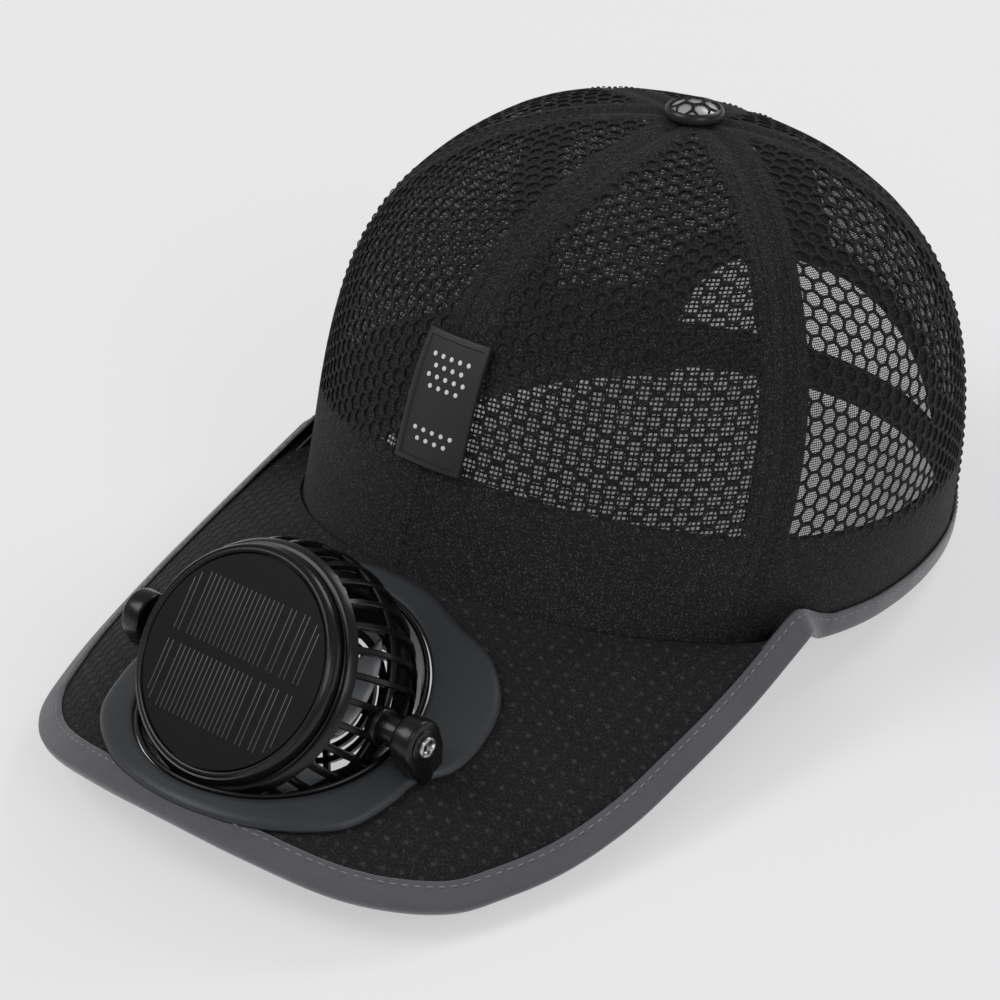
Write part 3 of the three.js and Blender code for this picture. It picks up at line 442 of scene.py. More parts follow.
def merged(points: np.ndarray, faces: np.ndarray) -> tuple[np.ndarray, list[tuple[int, ...]], np.ndarray]:
    """Merges points that lie together and drops the faces that vanish.

    Args:
        points: places in mm.
        faces: vertex numbers, four to a face.

    Returns:
        The kept points, the kept faces and the old number of each kept point.
    """
    keys = np.round(points / MERGE).astype(np.int64)
    _, first, back = np.unique(keys, axis=0, return_index=True, return_inverse=True)
    back = back.reshape(-1)
    kept = [tuple(dict.fromkeys(f)) for f in back[faces].tolist()]
    kept = [f for f in kept if len(f) > 2]
    used = np.unique(np.array([v for f in kept for v in f]))
    renumber = np.full(len(first), -1)
    renumber[used] = np.arange(len(used))
    return points[first][used], [tuple(renumber[list(f)]) for f in kept], first[used]


def skin_faces(count: int, sides: int, closed: bool) -> list[tuple[int, ...]]:
    """Faces over sections set along a path.

    Args:
        count: number of sections.
        sides: points of each.
        closed: whether the path runs back to its start; otherwise its ends are closed.

    Returns:
        Vertex numbers of each face.
    """
    faces = []
    for i in range(count if closed else count - 1):
        a, b = i * sides, ((i + 1) % count) * sides
        faces += [(a + j, a + (j + 1) % sides, b + (j + 1) % sides, b + j) for j in range(sides)]
    if not closed:
        faces.append(tuple(range(sides))[::-1])
        faces.append(tuple((count - 1) * sides + j for j in range(sides)))
    return faces


def swept(name: str, stations: np.ndarray, closed: bool, place: Place) -> bpy.types.Object:
    """Skin over closed sections set along a path.

    Args:
        name: the object's name.
        stations: sections by points by 3, in the place's frame.
        closed: whether the path runs back to its start.
        place: the frame of the points.

    Returns:
        The object.
    """
    faces = skin_faces(*stations.shape[:2], closed)
    return outward(new_object(name, place.world(stations.reshape(-1, 3)), faces))


def outward(made: bpy.types.Object) -> bpy.types.Object:
    """Turns a closed mesh's faces outwards."""
    work = bmesh.new()
    work.from_mesh(made.data)
    bmesh.ops.recalc_face_normals(work, faces=work.faces[:])
    work.to_mesh(made.data)
    work.free()
    return made


def band_section(half: float, low: float, high: float, crown: float = 0.0, steps: int = 6) -> np.ndarray:
    """Closed section of a band with rounded sides.

    Args:
        half: half the band's width.
        low: offset of its inner face.
        high: offset of its outer face.
        crown: how far the outer face swells at the middle.
        steps: points across each face.

    Returns:
        Points as across and offset.
    """
    middle, half_wall = (low + high) / 2, (high - low) / 2
    across = np.linspace(-1, 1, steps)
    inner = half - half_wall
    upper = [(a * inner, high + crown * (1 - a * a)) for a in across]
    lower = [(a * inner, low) for a in across[::-1]]
    right = [
        (inner + half_wall * math.cos(t), middle + half_wall * math.sin(t))
        for t in (math.pi / 4, 0, -math.pi / 4)
    ]
    left = [(-a, 2 * middle - o) for a, o in right]
    return np.array(upper + right + lower + left)


def grid_faces(rows: int, columns: int) -> np.ndarray:
    """Faces of a grid of rows by columns points."""
    at = np.arange(rows * columns).reshape(rows, columns)
    corners = (at[:-1, :-1], at[:-1, 1:], at[1:, 1:], at[1:, :-1])
    return np.stack(corners, axis=-1).reshape(-1, 4)

def slab_faces(rows: int, columns: int) -> list[list[int]]:
    """Faces of a slab: a grid of upper points, the same grid of lower ones, and its sides."""
    top, count = grid_faces(rows, columns), rows * columns
    at = np.arange(count).reshape(rows, columns)
    loop = np.concatenate([at[:, 0], at[-1, 1:], at[-2::-1, -1], at[0, -2:0:-1]])
    after = np.roll(loop, -1)
    sides = np.stack([loop, after, after + count, loop + count], axis=-1)
    return np.concatenate([top, top[:, ::-1] + count, sides]).tolist()

def set_uv(made: bpy.types.Object, values: np.ndarray, name: str = "weave") -> None:
    """Gives a mesh a UV map from one value pair per vertex.

    Args:
        made: the mesh object.
        values: pairs, one a vertex.
        name: the map's name.
    """
    layer = made.data.uv_layers.new(name=name)
    numbers = np.zeros(len(made.data.loops), np.int32)
    made.data.loops.foreach_get("vertex_index", numbers)
    layer.data.foreach_set("uv", values[numbers].astype(np.float32).ravel())


# Work with Blender's own operators


def only(made: bpy.types.Object) -> None:
    """Makes this object the only selected one, and active."""
    bpy.ops.object.select_all(action="DESELECT")
    made.select_set(True)
    bpy.context.view_layer.objects.active = made


def apply_modifier(made: bpy.types.Object, kind: str, **settings: object) -> bpy.types.Object:
    """Adds a modifier and applies it.

    Args:
        made: the object.
        kind: the modifier's type.
        settings: its settings.

    Returns:
        The same object.
    """
    only(made)
    change = made.modifiers.new(kind.title(), kind)
    for key, value in settings.items():
        setattr(change, key, value)
    bpy.ops.object.modifier_apply(modifier=change.name)
    return made


def smoothed(made: bpy.types.Object, degrees: float = 40.0) -> bpy.types.Object:
    """Shades a mesh smooth where its faces meet at less than an angle."""
    only(made)
    bpy.ops.object.shade_smooth_by_angle(angle=math.radians(degrees))
    return made


def rounded(
    made: bpy.types.Object, width: float, segments: int = 3, angle: float = 35.0
) -> bpy.types.Object:
    """Rounds the sharp edges of a mesh in mm."""
    limit = math.radians(angle)
    apply_modifier(made, "BEVEL", width=width, segments=segments, limit_method="ANGLE", angle_limit=limit)
    return smoothed(made)


def cut_by(made: bpy.types.Object, cutter: bpy.types.Object) -> bpy.types.Object:
    """Takes a cutter's shape out of a mesh, and removes the cutter."""
    apply_modifier(made, "BOOLEAN", operation="DIFFERENCE", object=cutter, solver="EXACT")
    bpy.data.objects.remove(cutter)
    return made

def lathe(name: str, profile: Section, segments: int = 96) -> bpy.types.Object:
    """Turned piece about Z from a closed profile.

    Args:
        name: the object's name.
        profile: radius and height of each corner; the first and last may lie on the axis.
        segments: faces round it.

    Returns:
        The object, in mm at its own frame.
    """
    on_axis, count = profile[0][0] == 0, len(profile)
    mesh = bpy.data.meshes.new(name)
    edges = [(i, i + 1) for i in range(count - 1)] + ([] if on_axis else [(count - 1, 0)])
    mesh.from_pydata([(r, 0, z) for r, z in profile], edges, [])
    made = linked(name, mesh)
    only(made)
    bpy.ops.object.mode_set(mode="EDIT")
    bpy.ops.mesh.select_all(action="SELECT")
    bpy.ops.mesh.spin(steps=segments, angle=TAU, center=(0, 0, 0), axis=(0, 0, 1))
    bpy.ops.mesh.select_all(action="SELECT")
    bpy.ops.mesh.remove_doubles(threshold=0.001)
    bpy.ops.mesh.normals_make_consistent(inside=False)
    bpy.ops.object.mode_set(mode="OBJECT")
    return smoothed(made, 32.0)


def rod(
    name: str,
    radius: float,
    ends: tuple[float, float],
    axis: str = "Z",
    round_off: float = 0.3,
    sides: int = 40,
    centre: tuple[float, float, float] = (0.0, 0.0, 0.0),
) -> bpy.types.Object:
    """Round bar with rounded ends from Blender's cylinder.

    Args:
        name: the object's name.
        radius: its radius.
        ends: where it starts and stops along the axis.
        axis: "X", "Y" or "Z".
        round_off: radius of its end edges.
        sides: faces round it.
        centre: the point that the axis passes through.

    Returns:
        The object, in mm.
    """
    turns = {"X": (0, math.pi / 2, 0), "Y": (math.pi / 2, 0, 0), "Z": (0, 0, 0)}
    middle = np.array(centre, float)
    middle["XYZ".index(axis)] += (ends[0] + ends[1]) / 2
    bpy.ops.object.select_all(action="DESELECT")
    bpy.ops.mesh.primitive_cylinder_add(
        vertices=sides, radius=radius, depth=abs(ends[1] - ends[0]),
        location=middle.tolist(), rotation=turns[axis],
    )
    made = bpy.context.object
    made.name = made.data.name = name
    bpy.ops.object.transform_apply(location=True, rotation=True, scale=True)
    return rounded(made, round_off)


def block(
    name: str,
    size: tuple[float, float, float],
    centre: tuple[float, float, float],
    round_off: float = 0.3,
    cuts: int = 0,
) -> bpy.types.Object:
    """Block with rounded edges from Blender's cube.

    Args:
        name: the object's name.
        size: its three sizes.
        centre: its middle.
        round_off: radius of its edges.
        cuts: cuts across each face, made first.

    Returns:
        The object, in mm.
    """
    bpy.ops.object.select_all(action="DESELECT")
    bpy.ops.mesh.primitive_cube_add(size=1, location=centre, scale=size)
    made = bpy.context.object
    made.name = made.data.name = name
    bpy.ops.object.transform_apply(location=True, rotation=True, scale=True)
    rounded(made, round_off, 2)
    if cuts:
        bpy.ops.object.mode_set(mode="EDIT")
        bpy.ops.mesh.select_all(action="SELECT")
        bpy.ops.mesh.subdivide(number_cuts=cuts)
        bpy.ops.object.mode_set(mode="OBJECT")
    return made


def copied(made: bpy.types.Object, change: Matrix) -> bpy.types.Object:
    """Copy with its own mesh, moved by a matrix."""
    twin = linked(made.name, made.data.copy())
    twin.data.transform(change)
    return twin


def joined(name: str, parts: Sequence[bpy.types.Object]) -> bpy.types.Object:
    """Joins objects into one.

    Args:
        name: name of the result.
        parts: the objects.

    Returns:
        The joined object.
    """
    only(parts[0])
    for part in parts:
        part.select_set(True)
    if len(parts) > 1:
        bpy.ops.object.join()
    parts[0].name = parts[0].data.name = name
    return parts[0]


def moved(made: bpy.types.Object, change: Callable[[np.ndarray], np.ndarray]) -> bpy.types.Object:
    """Moves every vertex by a function of all their places."""
    flat = np.zeros(len(made.data.vertices) * 3)
    made.data.vertices.foreach_get("co", flat)
    made.data.vertices.foreach_set("co", change(flat.reshape(-1, 3)).ravel())
    made.data.update()
    return made


def placed(made: bpy.types.Object, place: Place) -> bpy.types.Object:
    """Takes a mesh in mm from its own frame to the row frame."""
    made.data.transform(place.matrix())
    made.data.update()
    return made


# Finishes


class Board:
    """A node tree with short calls that add and link nodes."""

    def __init__(self, tree: bpy.types.NodeTree) -> None:
        """Keeps the tree."""
        self.tree = tree

    def fill(self, node: bpy.types.Node, inputs: dict) -> None:
        """Fills inputs of a node, by name or number, with values or with links from sockets."""
        for key, value in inputs.items():
            if isinstance(value, bpy.types.NodeSocket):
                self.tree.links.new(value, node.inputs[key])
            else:
                node.inputs[key].default_value = value

    def add(self, kind: str, inputs: Optional[dict] = None, **settings: object) -> bpy.types.Node:
        """Adds a node.

        Args:
            kind: the node's type.
            inputs: what its inputs are filled with.
            settings: its own settings.

        Returns:
            The node.
        """
        node = self.tree.nodes.new(kind)
        for key, value in settings.items():
            setattr(node, key, value)
        self.fill(node, inputs or {})
        return node

    def math(self, operation: str, *values: object) -> bpy.types.NodeSocket:
        """Result of a math node."""
        return self.add("ShaderNodeMath", dict(enumerate(values)), operation=operation).outputs[0]

    def times(self, first: object, second: object) -> bpy.types.NodeSocket:
        """Product of two values."""
        return self.math("MULTIPLY", first, second)

    def noise(self, vector: object, scale: object, detail: float = 2.0) -> bpy.types.NodeSocket:
        """Value of a noise texture."""
        inputs = {"Vector": vector, "Scale": scale, "Detail": detail}
        return self.add("ShaderNodeTexNoise", inputs).outputs["Fac"]

    def ramp(
        self, value: object, low: object, high: object, first: object = 0.0, last: object = 1.0
    ) -> bpy.types.NodeSocket:
        """A value taken from low..high to first..last."""
        inputs = {0: value, 1: low, 2: high, 3: first, 4: last}
        return self.add("ShaderNodeMapRange", inputs).outputs[0]

    def mix(self, factor: object, first: object, second: object) -> bpy.types.NodeSocket:
        """Mix of two colours."""
        inputs = {0: factor, 6: first, 7: second}
        return self.add("ShaderNodeMix", inputs, data_type="RGBA").outputs[2]

    def split(self, vector: object) -> bpy.types.bpy_prop_collection:
        """The x, y and z of a vector."""
        return self.add("ShaderNodeSeparateXYZ", {0: vector}).outputs

    def bump(self, height: object, strength: float, depth: float) -> bpy.types.NodeSocket:
        """Normal bent by a height."""
        inputs = {"Strength": strength, "Distance": depth, "Height": height}
        return self.add("ShaderNodeBump", inputs).outputs[0]


def grey(level: float, blue: float = 1.0) -> Colour:
    """Grey with a tint, as a colour."""
    return (level, level, level * blue, 1.0)


class Effects:
    """Node groups that several finishes share, each built once."""

    def __init__(self) -> None:
        """Builds the groups."""
        self.cloth = self._cloth()
        self.moulded = self._moulded()
        self.twill = self._twill()

    @staticmethod
    def _group(
        name: str, inputs: dict[str, object], outputs: Sequence[str] = ("Color", "Roughness", "Height")
    ) -> tuple[Board, bpy.types.bpy_prop_collection, bpy.types.Node]:
        """Starts a node group that reads a vector.

        Args:
            name: the group's name.
            inputs: its further inputs and their values.
            outputs: its outputs.

        Returns:
            The group's board, what it is given, and its output node.
        """
        group = bpy.data.node_groups.new(name, "ShaderNodeTree")
        sockets = [("Vector", "INPUT", "Vector", None)]
        sockets += [
            (label, "INPUT", "Color" if isinstance(value, tuple) else "Float", value)
            for label, value in inputs.items()
        ]
        sockets += [(label, "OUTPUT", "Color" if label == "Color" else "Float", None) for label in outputs]
        for label, way, kind, value in sockets:
            made = group.interface.new_socket(name=label, in_out=way, socket_type=f"NodeSocket{kind}")
            if value is not None:
                made.default_value = value
        board = Board(group)
        return board, board.add("NodeGroupInput").outputs, board.add("NodeGroupOutput")

    def _cloth(self) -> bpy.types.NodeTree:
        """Fibre grain, soft fading, and painted glints of cloth: light dots that stand in for the sparkle of its
        fibres.
        """
        board, given, end = self._group("cloth_grain", {
            "Color": grey(0.02), "Glint Color": grey(0.3), "Specks": 0.3, "Fibre Scale": 2600.0, "Fading": 0.4,
        })
        vector, scale = given["Vector"], given["Fibre Scale"]
        fibre = board.noise(vector, scale, 3.0)
        faded = board.noise(vector, 45.0)
        # Painted glints: sparse light dots mixed into the colour, standing in for the sparkle of the fibres.
        glint = board.noise(vector, board.times(scale, 0.85), 1.0)
        lit = board.times(board.ramp(glint, 0.54, 0.72), given["Specks"])
        lift = board.math("MULTIPLY_ADD", board.math("SUBTRACT", faded, 0.5), given["Fading"], 1.0)
        shade = board.times(lift, board.ramp(fibre, 0.2, 0.8, 0.7, 1.3))
        base = board.add("ShaderNodeVectorMath", {0: given["Color"], 3: shade}, operation="SCALE")
        board.fill(end, {
            "Color": board.mix(lit, base.outputs[0], given["Glint Color"]),
            "Roughness": board.ramp(fibre, 0.2, 0.8, 0.78, 0.95),
            "Height": board.math("ADD", fibre, board.times(glint, 0.5)),
        })
        return board.tree

    def _moulded(self) -> bpy.types.NodeTree:
        """Fine grain, handling marks and a little dust on moulded plastic."""
        board, given, end = self._group("moulded_surface", {
            "Color": grey(0.02), "Dust Color": grey(0.35), "Dust": 0.04, "Gloss": 0.3, "Marks": 0.1,
            "Grain Scale": 1200.0,
        })
        vector = given["Vector"]
        marks = board.noise(vector, 55.0, 4.0)
        motes = board.noise(vector, 700.0, 1.0)
        settled = board.times(board.ramp(motes, 0.6, 0.75), board.ramp(marks, 0.35, 0.7))
        dusty = board.times(settled, given["Dust"])
        worn = board.times(board.math("SUBTRACT", marks, 0.5), given["Marks"])
        rough = board.math("ADD", given["Gloss"], worn)
        board.fill(end, {
            "Color": board.mix(dusty, given["Color"], given["Dust Color"]),
            "Roughness": board.math("ADD", rough, board.times(dusty, 1.5)),
            "Height": board.noise(vector, given["Grain Scale"]),
        })
        return board.tree

    def _twill(self) -> bpy.types.NodeTree:
        """Slanted ribs of a woven tape, from a map in centimetres."""
        board, given, end = self._group("twill_ribs", {"Ribs": 18.0}, ["Height"])
        across, along, _ = board.split(given["Vector"])
        slant = board.math("ADD", across, board.times(along, 0.55))
        waves = [
            board.math("SINE", board.times(board.times(way, given["Ribs"]), TAU)) for way in (slant, along)
        ]
        board.fill(end, {"Height": board.math("MULTIPLY_ADD", waves[1], 0.35, waves[0])})
        return board.tree


EFFECTS = Effects()


def material_board(name: str) -> tuple[bpy.types.Material, Board, bpy.types.Node, bpy.types.NodeSocket]:
    """Starts a material.

    Args:
        name: the material's name.

    Returns:
        The material, its board, its surface shader and the object coordinates.
    """
    made = bpy.data.materials.new(name)
    made.use_nodes = True
    board = Board(made.node_tree)
    shader = made.node_tree.nodes["Principled BSDF"]
    place = board.add("ShaderNodeTexCoord").outputs["Object"]
    return made, board, shader, place


@dataclass(frozen=True)
class ClothFinish:
    """Cloth: fibres, fading, painted glints, painted highlight dots, and ribs or a see-through fine net where set."""

    name: str
    color: Colour
    # Painted glints: the amount of light dots that stand in for the sparkle of the fibres, and their colour, which
    # the painted highlight dots share.
    specks: float = 0.3
    glint_color: Colour = grey(0.25, 1.25)
    fibre_scale: float = 2600.0
    fading: float = 0.5
    bump: float = 0.35
    depth: float = 0.00025
    sheen: float = 0.3
    ribs: float = 0.0
    lining: Optional[Lining] = None
    # Painted highlights: a light dot in the middle of each cell of the net, standing in for the cloth under the net
    # catching the light.
    dots: float = 0.0
    dot_steps: tuple[float, float] = (7.621, 4.532)
    seam_cover: float = 0.62
    hem_cover: float = 2.9

    def build(self) -> bpy.types.Material:
        """Makes the material.

        Returns:
            The material.
        """
        made, board, shader, place = material_board(self.name)
        group = board.add("ShaderNodeGroup", node_tree=EFFECTS.cloth)
        board.fill(group, {
            "Vector": place, "Color": self.color, "Glint Color": self.glint_color, "Specks": self.specks,
            "Fibre Scale": self.fibre_scale, "Fading": self.fading,
        })
        color, height = group.outputs["Color"], group.outputs["Height"]
        if self.ribs or self.lining or self.dots:
            uv = board.add("ShaderNodeUVMap", uv_map="weave").outputs[0]
        if self.ribs:
            ribs = board.add("ShaderNodeGroup", {"Vector": uv, "Ribs": self.ribs}, node_tree=EFFECTS.twill)
            height = board.math("MULTIPLY_ADD", ribs.outputs[0], 0.5, height)
        if self.lining:
            open_share = board.times(self._holes(board, uv), self._uncovered(board))
            board.fill(shader, {"Alpha": board.math("SUBTRACT", 1.0, open_share)})
        if self.dots:
            # Painted highlights: the light dots lift the colour towards the glint colour.
            bright = self._painted_highlights(board, uv)
            color = board.mix(board.times(bright, self.dots), color, self.glint_color)
            height = board.math("ADD", height, board.times(bright, -1.5))
        board.fill(shader, {
            "Base Color": color, "Roughness": group.outputs["Roughness"],
            "Normal": board.bump(height, self.bump, self.depth),
            "Sheen Weight": self.sheen, "Sheen Roughness": 0.4, "Specular IOR Level": 0.25,
        })
        return made

    def _holes(self, board: Board, uv: bpy.types.NodeSocket) -> bpy.types.NodeSocket:
        """Mask of the open places between the threads of the fine net."""
        pitch, share, clearness = self.lining.value
        jitter = board.times(board.math("SUBTRACT", board.noise(uv, 9.0), 0.5), 0.35)
        sides = []
        for way in board.split(uv)[:2]:
            along = board.math("ADD", board.times(way, 10.0 / pitch), jitter)
            sides.append(board.math("ABSOLUTE", board.math("SUBTRACT", board.math("FRACT", along), 0.5)))
        edge = share**0.5 / 2
        far = board.math("MAXIMUM", sides[0], board.times(sides[1], 1.15))
        hole = board.ramp(far, edge + 0.06, edge - 0.06)
        return board.times(hole, board.ramp(board.noise(uv, 22.0), 0.3, 0.7, 0.55 * clearness, clearness))

    def _uncovered(self, board: Board) -> bpy.types.NodeSocket:
        """Mask of the net away from the doubled cloth beside the seams and above the hem."""
        seam, hem, _ = board.split(board.add("ShaderNodeUVMap", uv_map="border").outputs[0])
        beside = board.ramp(seam, self.seam_cover, self.seam_cover + 0.04)
        return board.times(beside, board.ramp(hem, self.hem_cover, self.hem_cover + 0.05))

    def _painted_highlights(self, board: Board, uv: bpy.types.NodeSocket) -> bpy.types.NodeSocket:
        """Mask of painted highlights: a small light dot in the middle of each cell of the net, patchy across the
        cloth.
        """
        ways = board.split(uv)
        highlight_spots = []
        for shift in (0.0, 0.5):
            squares = []
            for way, step in zip(ways, self.dot_steps):
                along = board.math("MULTIPLY_ADD", way, 10 / step, shift + 0.5)
                off = board.math("SUBTRACT", board.math("FRACT", along), 0.5)
                squares.append(board.math("POWER", board.times(off, step), 2.0))
            highlight_spots.append(board.ramp(board.math("ADD", *squares), 0.55, 0.05))
        patchy = board.ramp(board.noise(uv, 5.0, 3.0), 0.3, 0.65, 0.15, 1.0)
        return board.times(board.math("MAXIMUM", *highlight_spots), patchy)


@dataclass(frozen=True)
class MouldedFinish:
    """Moulded plastic, rubber or metal with grain, marks and dust."""

    name: str
    color: Colour
    gloss: float = 0.3
    marks: float = 0.1
    dust: float = 0.05
    grain_scale: float = 1200.0
    bump: float = 0.1
    metallic: float = 0.0
    coat: float = 0.0
    specular: float = 0.5

    def build(self) -> bpy.types.Material:
        """Makes the material.

        Returns:
            The material.
        """
        made, board, shader, place = material_board(self.name)
        group = board.add("ShaderNodeGroup", node_tree=EFFECTS.moulded)
        board.fill(group, {
            "Vector": place, "Color": self.color, "Dust": self.dust, "Gloss": self.gloss,
            "Marks": self.marks, "Grain Scale": self.grain_scale,
        })
        board.fill(shader, {
            "Base Color": group.outputs["Color"], "Roughness": group.outputs["Roughness"],
            "Normal": board.bump(group.outputs["Height"], self.bump, 0.0001),
            "Metallic": self.metallic, "Coat Weight": self.coat, "Coat Roughness": 0.06,
            "Specular IOR Level": self.specular,
        })
        return made

@dataclass(frozen=True)
class Finishes:
    """Every finish of the hat."""

    # Each cloth's speckle amount and colour below paint glints: light dots that stand in for the sparkle of its
    # fibres.
    strand: ClothFinish = ClothFinish(
        "net_strand", grey(0.0105, 1.08), specks=0.26, fibre_scale=2400.0, sheen=0.04, glint_color=grey(0.15, 1.1)
    )
    lining_open: ClothFinish = ClothFinish(
        "fine_net_open", grey(0.011, 1.08), specks=0.34, lining=Lining.OPEN, sheen=0.04, glint_color=grey(0.16, 1.1)
    )
    lining_dense: ClothFinish = ClothFinish(
        "fine_net_dense", grey(0.012, 1.08), specks=0.4, lining=Lining.DENSE, sheen=0.04, glint_color=grey(0.17, 1.1)
    )
    tape: ClothFinish = ClothFinish("tape_cloth", grey(0.007, 1.08), specks=0.05, ribs=14.0, sheen=0.05)
    # The bill cloth's dots are painted highlights of the cloth under the net.
    bill_cloth: ClothFinish = ClothFinish(
        "bill_cloth", grey(0.0115, 1.06), specks=0.2, dots=0.24, glint_color=grey(0.17, 1.08), sheen=0.05
    )
    under_cloth: ClothFinish = ClothFinish("bill_under_cloth", grey(0.008, 1.1), specks=0.1)
    binding: ClothFinish = ClothFinish(
        "binding_tape", (0.118, 0.115, 0.128, 1.0), specks=0.12, ribs=26.0, sheen=0.5,
        bump=0.3, depth=0.00012, fading=0.25, fibre_scale=4200.0,
    )
    bill_strand: ClothFinish = ClothFinish(
        "bill_net_strand", grey(0.012, 1.06), specks=0.2, fibre_scale=2400.0, sheen=0.04, glint_color=grey(0.16, 1.08)
    )
    thread: ClothFinish = ClothFinish("thread_light", grey(0.27, 1.06), specks=0.0, fibre_scale=5200.0)
    thread_dark: ClothFinish = ClothFinish("thread_dark", grey(0.02, 1.05), specks=0.0, fibre_scale=5200.0)
    rubber: MouldedFinish = MouldedFinish("label_rubber", grey(0.014, 1.05), 0.5, bump=0.2, dust=0.03)
    motif: MouldedFinish = MouldedFinish("label_dots", grey(0.82), 0.45, dust=0.02)
    slate: MouldedFinish = MouldedFinish(
        "plate_plastic", (0.030, 0.034, 0.039, 1.0), 0.46, marks=0.12, dust=0.03, bump=0.22
    )
    gloss: MouldedFinish = MouldedFinish(
        "head_plastic", grey(0.0055, 1.05), 0.27, marks=0.06, dust=0.02, bump=0.03, coat=0.08, specular=0.32
    )
    solar: MouldedFinish = MouldedFinish(
        "solar_face", grey(0.0085, 1.02), 0.42, marks=0.05, dust=0.012, bump=0.05, grain_scale=900.0, specular=0.12
    )
    contact: MouldedFinish = MouldedFinish("contact_silver", grey(0.1, 1.05), 0.45, metallic=0.3)
    # The blades' light grey is partly grey plastic and partly painted reflection of the bright studio, lifted into
    # the colour.
    blade: MouldedFinish = MouldedFinish("blade_plastic", (0.5, 0.52, 0.55, 1.0), 0.14, marks=0.06, coat=0.5)
    steel: MouldedFinish = MouldedFinish("screw_steel", grey(0.55, 1.0), 0.26, metallic=1.0, bump=0.05)
    button: MouldedFinish = MouldedFinish(
        "button_metal", grey(0.5, 1.02), 0.36, metallic=0.45, dust=0.3, bump=0.6, grain_scale=2200.0
    )
    rim: MouldedFinish = MouldedFinish("button_rim", grey(0.012), 0.35, dust=0.03)


class Wardrobe:
    """Makes each finish's material once and dresses pieces with it."""

    def __init__(self, finishes: Finishes) -> None:
        """Keeps the finishes."""
        self.finishes = finishes
        self.made: dict[str, bpy.types.Material] = {}

    def of(self, name: str) -> bpy.types.Material:
        """The material of a finish by its field name."""
        if name not in self.made:
            self.made[name] = getattr(self.finishes, name).build()
        return self.made[name]

    def dress(
        self,
        made: bpy.types.Object,
        finish: str,
        body: Body = Body.CAP,
        stands_for: Sequence[str] = (),
    ) -> bpy.types.Object:
        """Gives a piece its finish and body, and hides what it stands for.

        Args:
            made: the piece.
            finish: field name of its finish.
            body: what it rides on.
            stands_for: the solids that it stands for.

        Returns:
            The piece.
        """
        made.data.materials.clear()
        made.data.materials.append(self.of(finish))
        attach(made, body.value)
        if stands_for:
            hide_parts(*stands_for)
        LOG.info("%s: %d faces, rides on %s", made.name, len(made.data.polygons), body.value)
        return made


WARDROBE = Wardrobe(Finishes())


# Cloth parts


@dataclass(frozen=True)
class HexNet:
    """Coarse net of hexagons laid on a flat map in mm, cut as real strands."""

    pitch: float = 4.4
    strand: float = 0.74
    stretch: float = 1.05
    depth: float = 0.45
    hollow: float = 0.1
    sides: int = 12

    def centres(self, low: tuple[float, float], high: tuple[float, float]) -> np.ndarray:
        """Middles of the cells over a rectangle of the map.

        Args:
            low: its least u and v.
            high: its greatest u and v.

        Returns:
            Points, one a cell.
        """
        step_u, step_v = self.pitch * math.sqrt(3) / 2, self.pitch * self.stretch
        columns = np.arange(math.floor(low[0] / step_u), math.ceil(high[0] / step_u) + 1)
        rows = np.arange(math.floor(low[1] / step_v) - 1, math.ceil(high[1] / step_v) + 1)
        u, v = np.meshgrid(columns, rows, indexing="ij")
        return np.stack([u * step_u, (v + 0.5 * (u % 2)) * step_v], axis=-1).reshape(-1, 2)

    def rings(self) -> tuple[np.ndarray, np.ndarray]:
        """Rings of one cell from its outline on top, round the strand, to its outline below.

        Returns:
            Places of the rings' points on the map, and the rings' offsets.
        """
        turn = np.arange(self.sides) * TAU / self.sides
        corner = self.pitch / math.sqrt(3)
        flat = self.pitch / 2
        to_side = np.minimum(turn % (TAU / 6), TAU / 6 - (turn % (TAU / 6)))
        outline = np.where(to_side < 0.01, corner, flat / np.cos(TAU / 12 - to_side))
        hole_flat = flat - self.strand / 2
        hole = np.where(to_side < 0.01, hole_flat / math.cos(TAU / 12) * 0.935, hole_flat)
        radii = np.stack([outline, hole, hole, outline])
        u = radii * np.cos(turn)
        v = radii * np.sin(turn) * self.stretch
        return np.stack([u, v], axis=-1), np.array([0, -self.hollow, -self.depth, -self.depth])

    def cells(self, centres: np.ndarray) -> tuple[np.ndarray, np.ndarray, np.ndarray]:
        """Flat mesh of many cells.

        Args:
            centres: middles of the cells.

        Returns:
            Map places, offsets and faces.
        """
        rings, heights = self.rings()
        ring_count = len(heights)
        flat = centres[:, None, None, :] + rings[None]
        offsets = np.broadcast_to(heights[None, :, None], flat.shape[:3])
        at = np.arange(ring_count * self.sides).reshape(ring_count, self.sides)
        nxt = np.roll(at, -1, axis=1)
        one = np.stack([at[:-1], nxt[:-1], nxt[1:], at[1:]], axis=-1).reshape(-1, 4)
        per_cell = ring_count * self.sides
        faces = one[None] + (np.arange(len(centres)) * per_cell)[:, None, None]
        return flat.reshape(-1, 2), offsets.reshape(-1), faces.reshape(-1, 4)


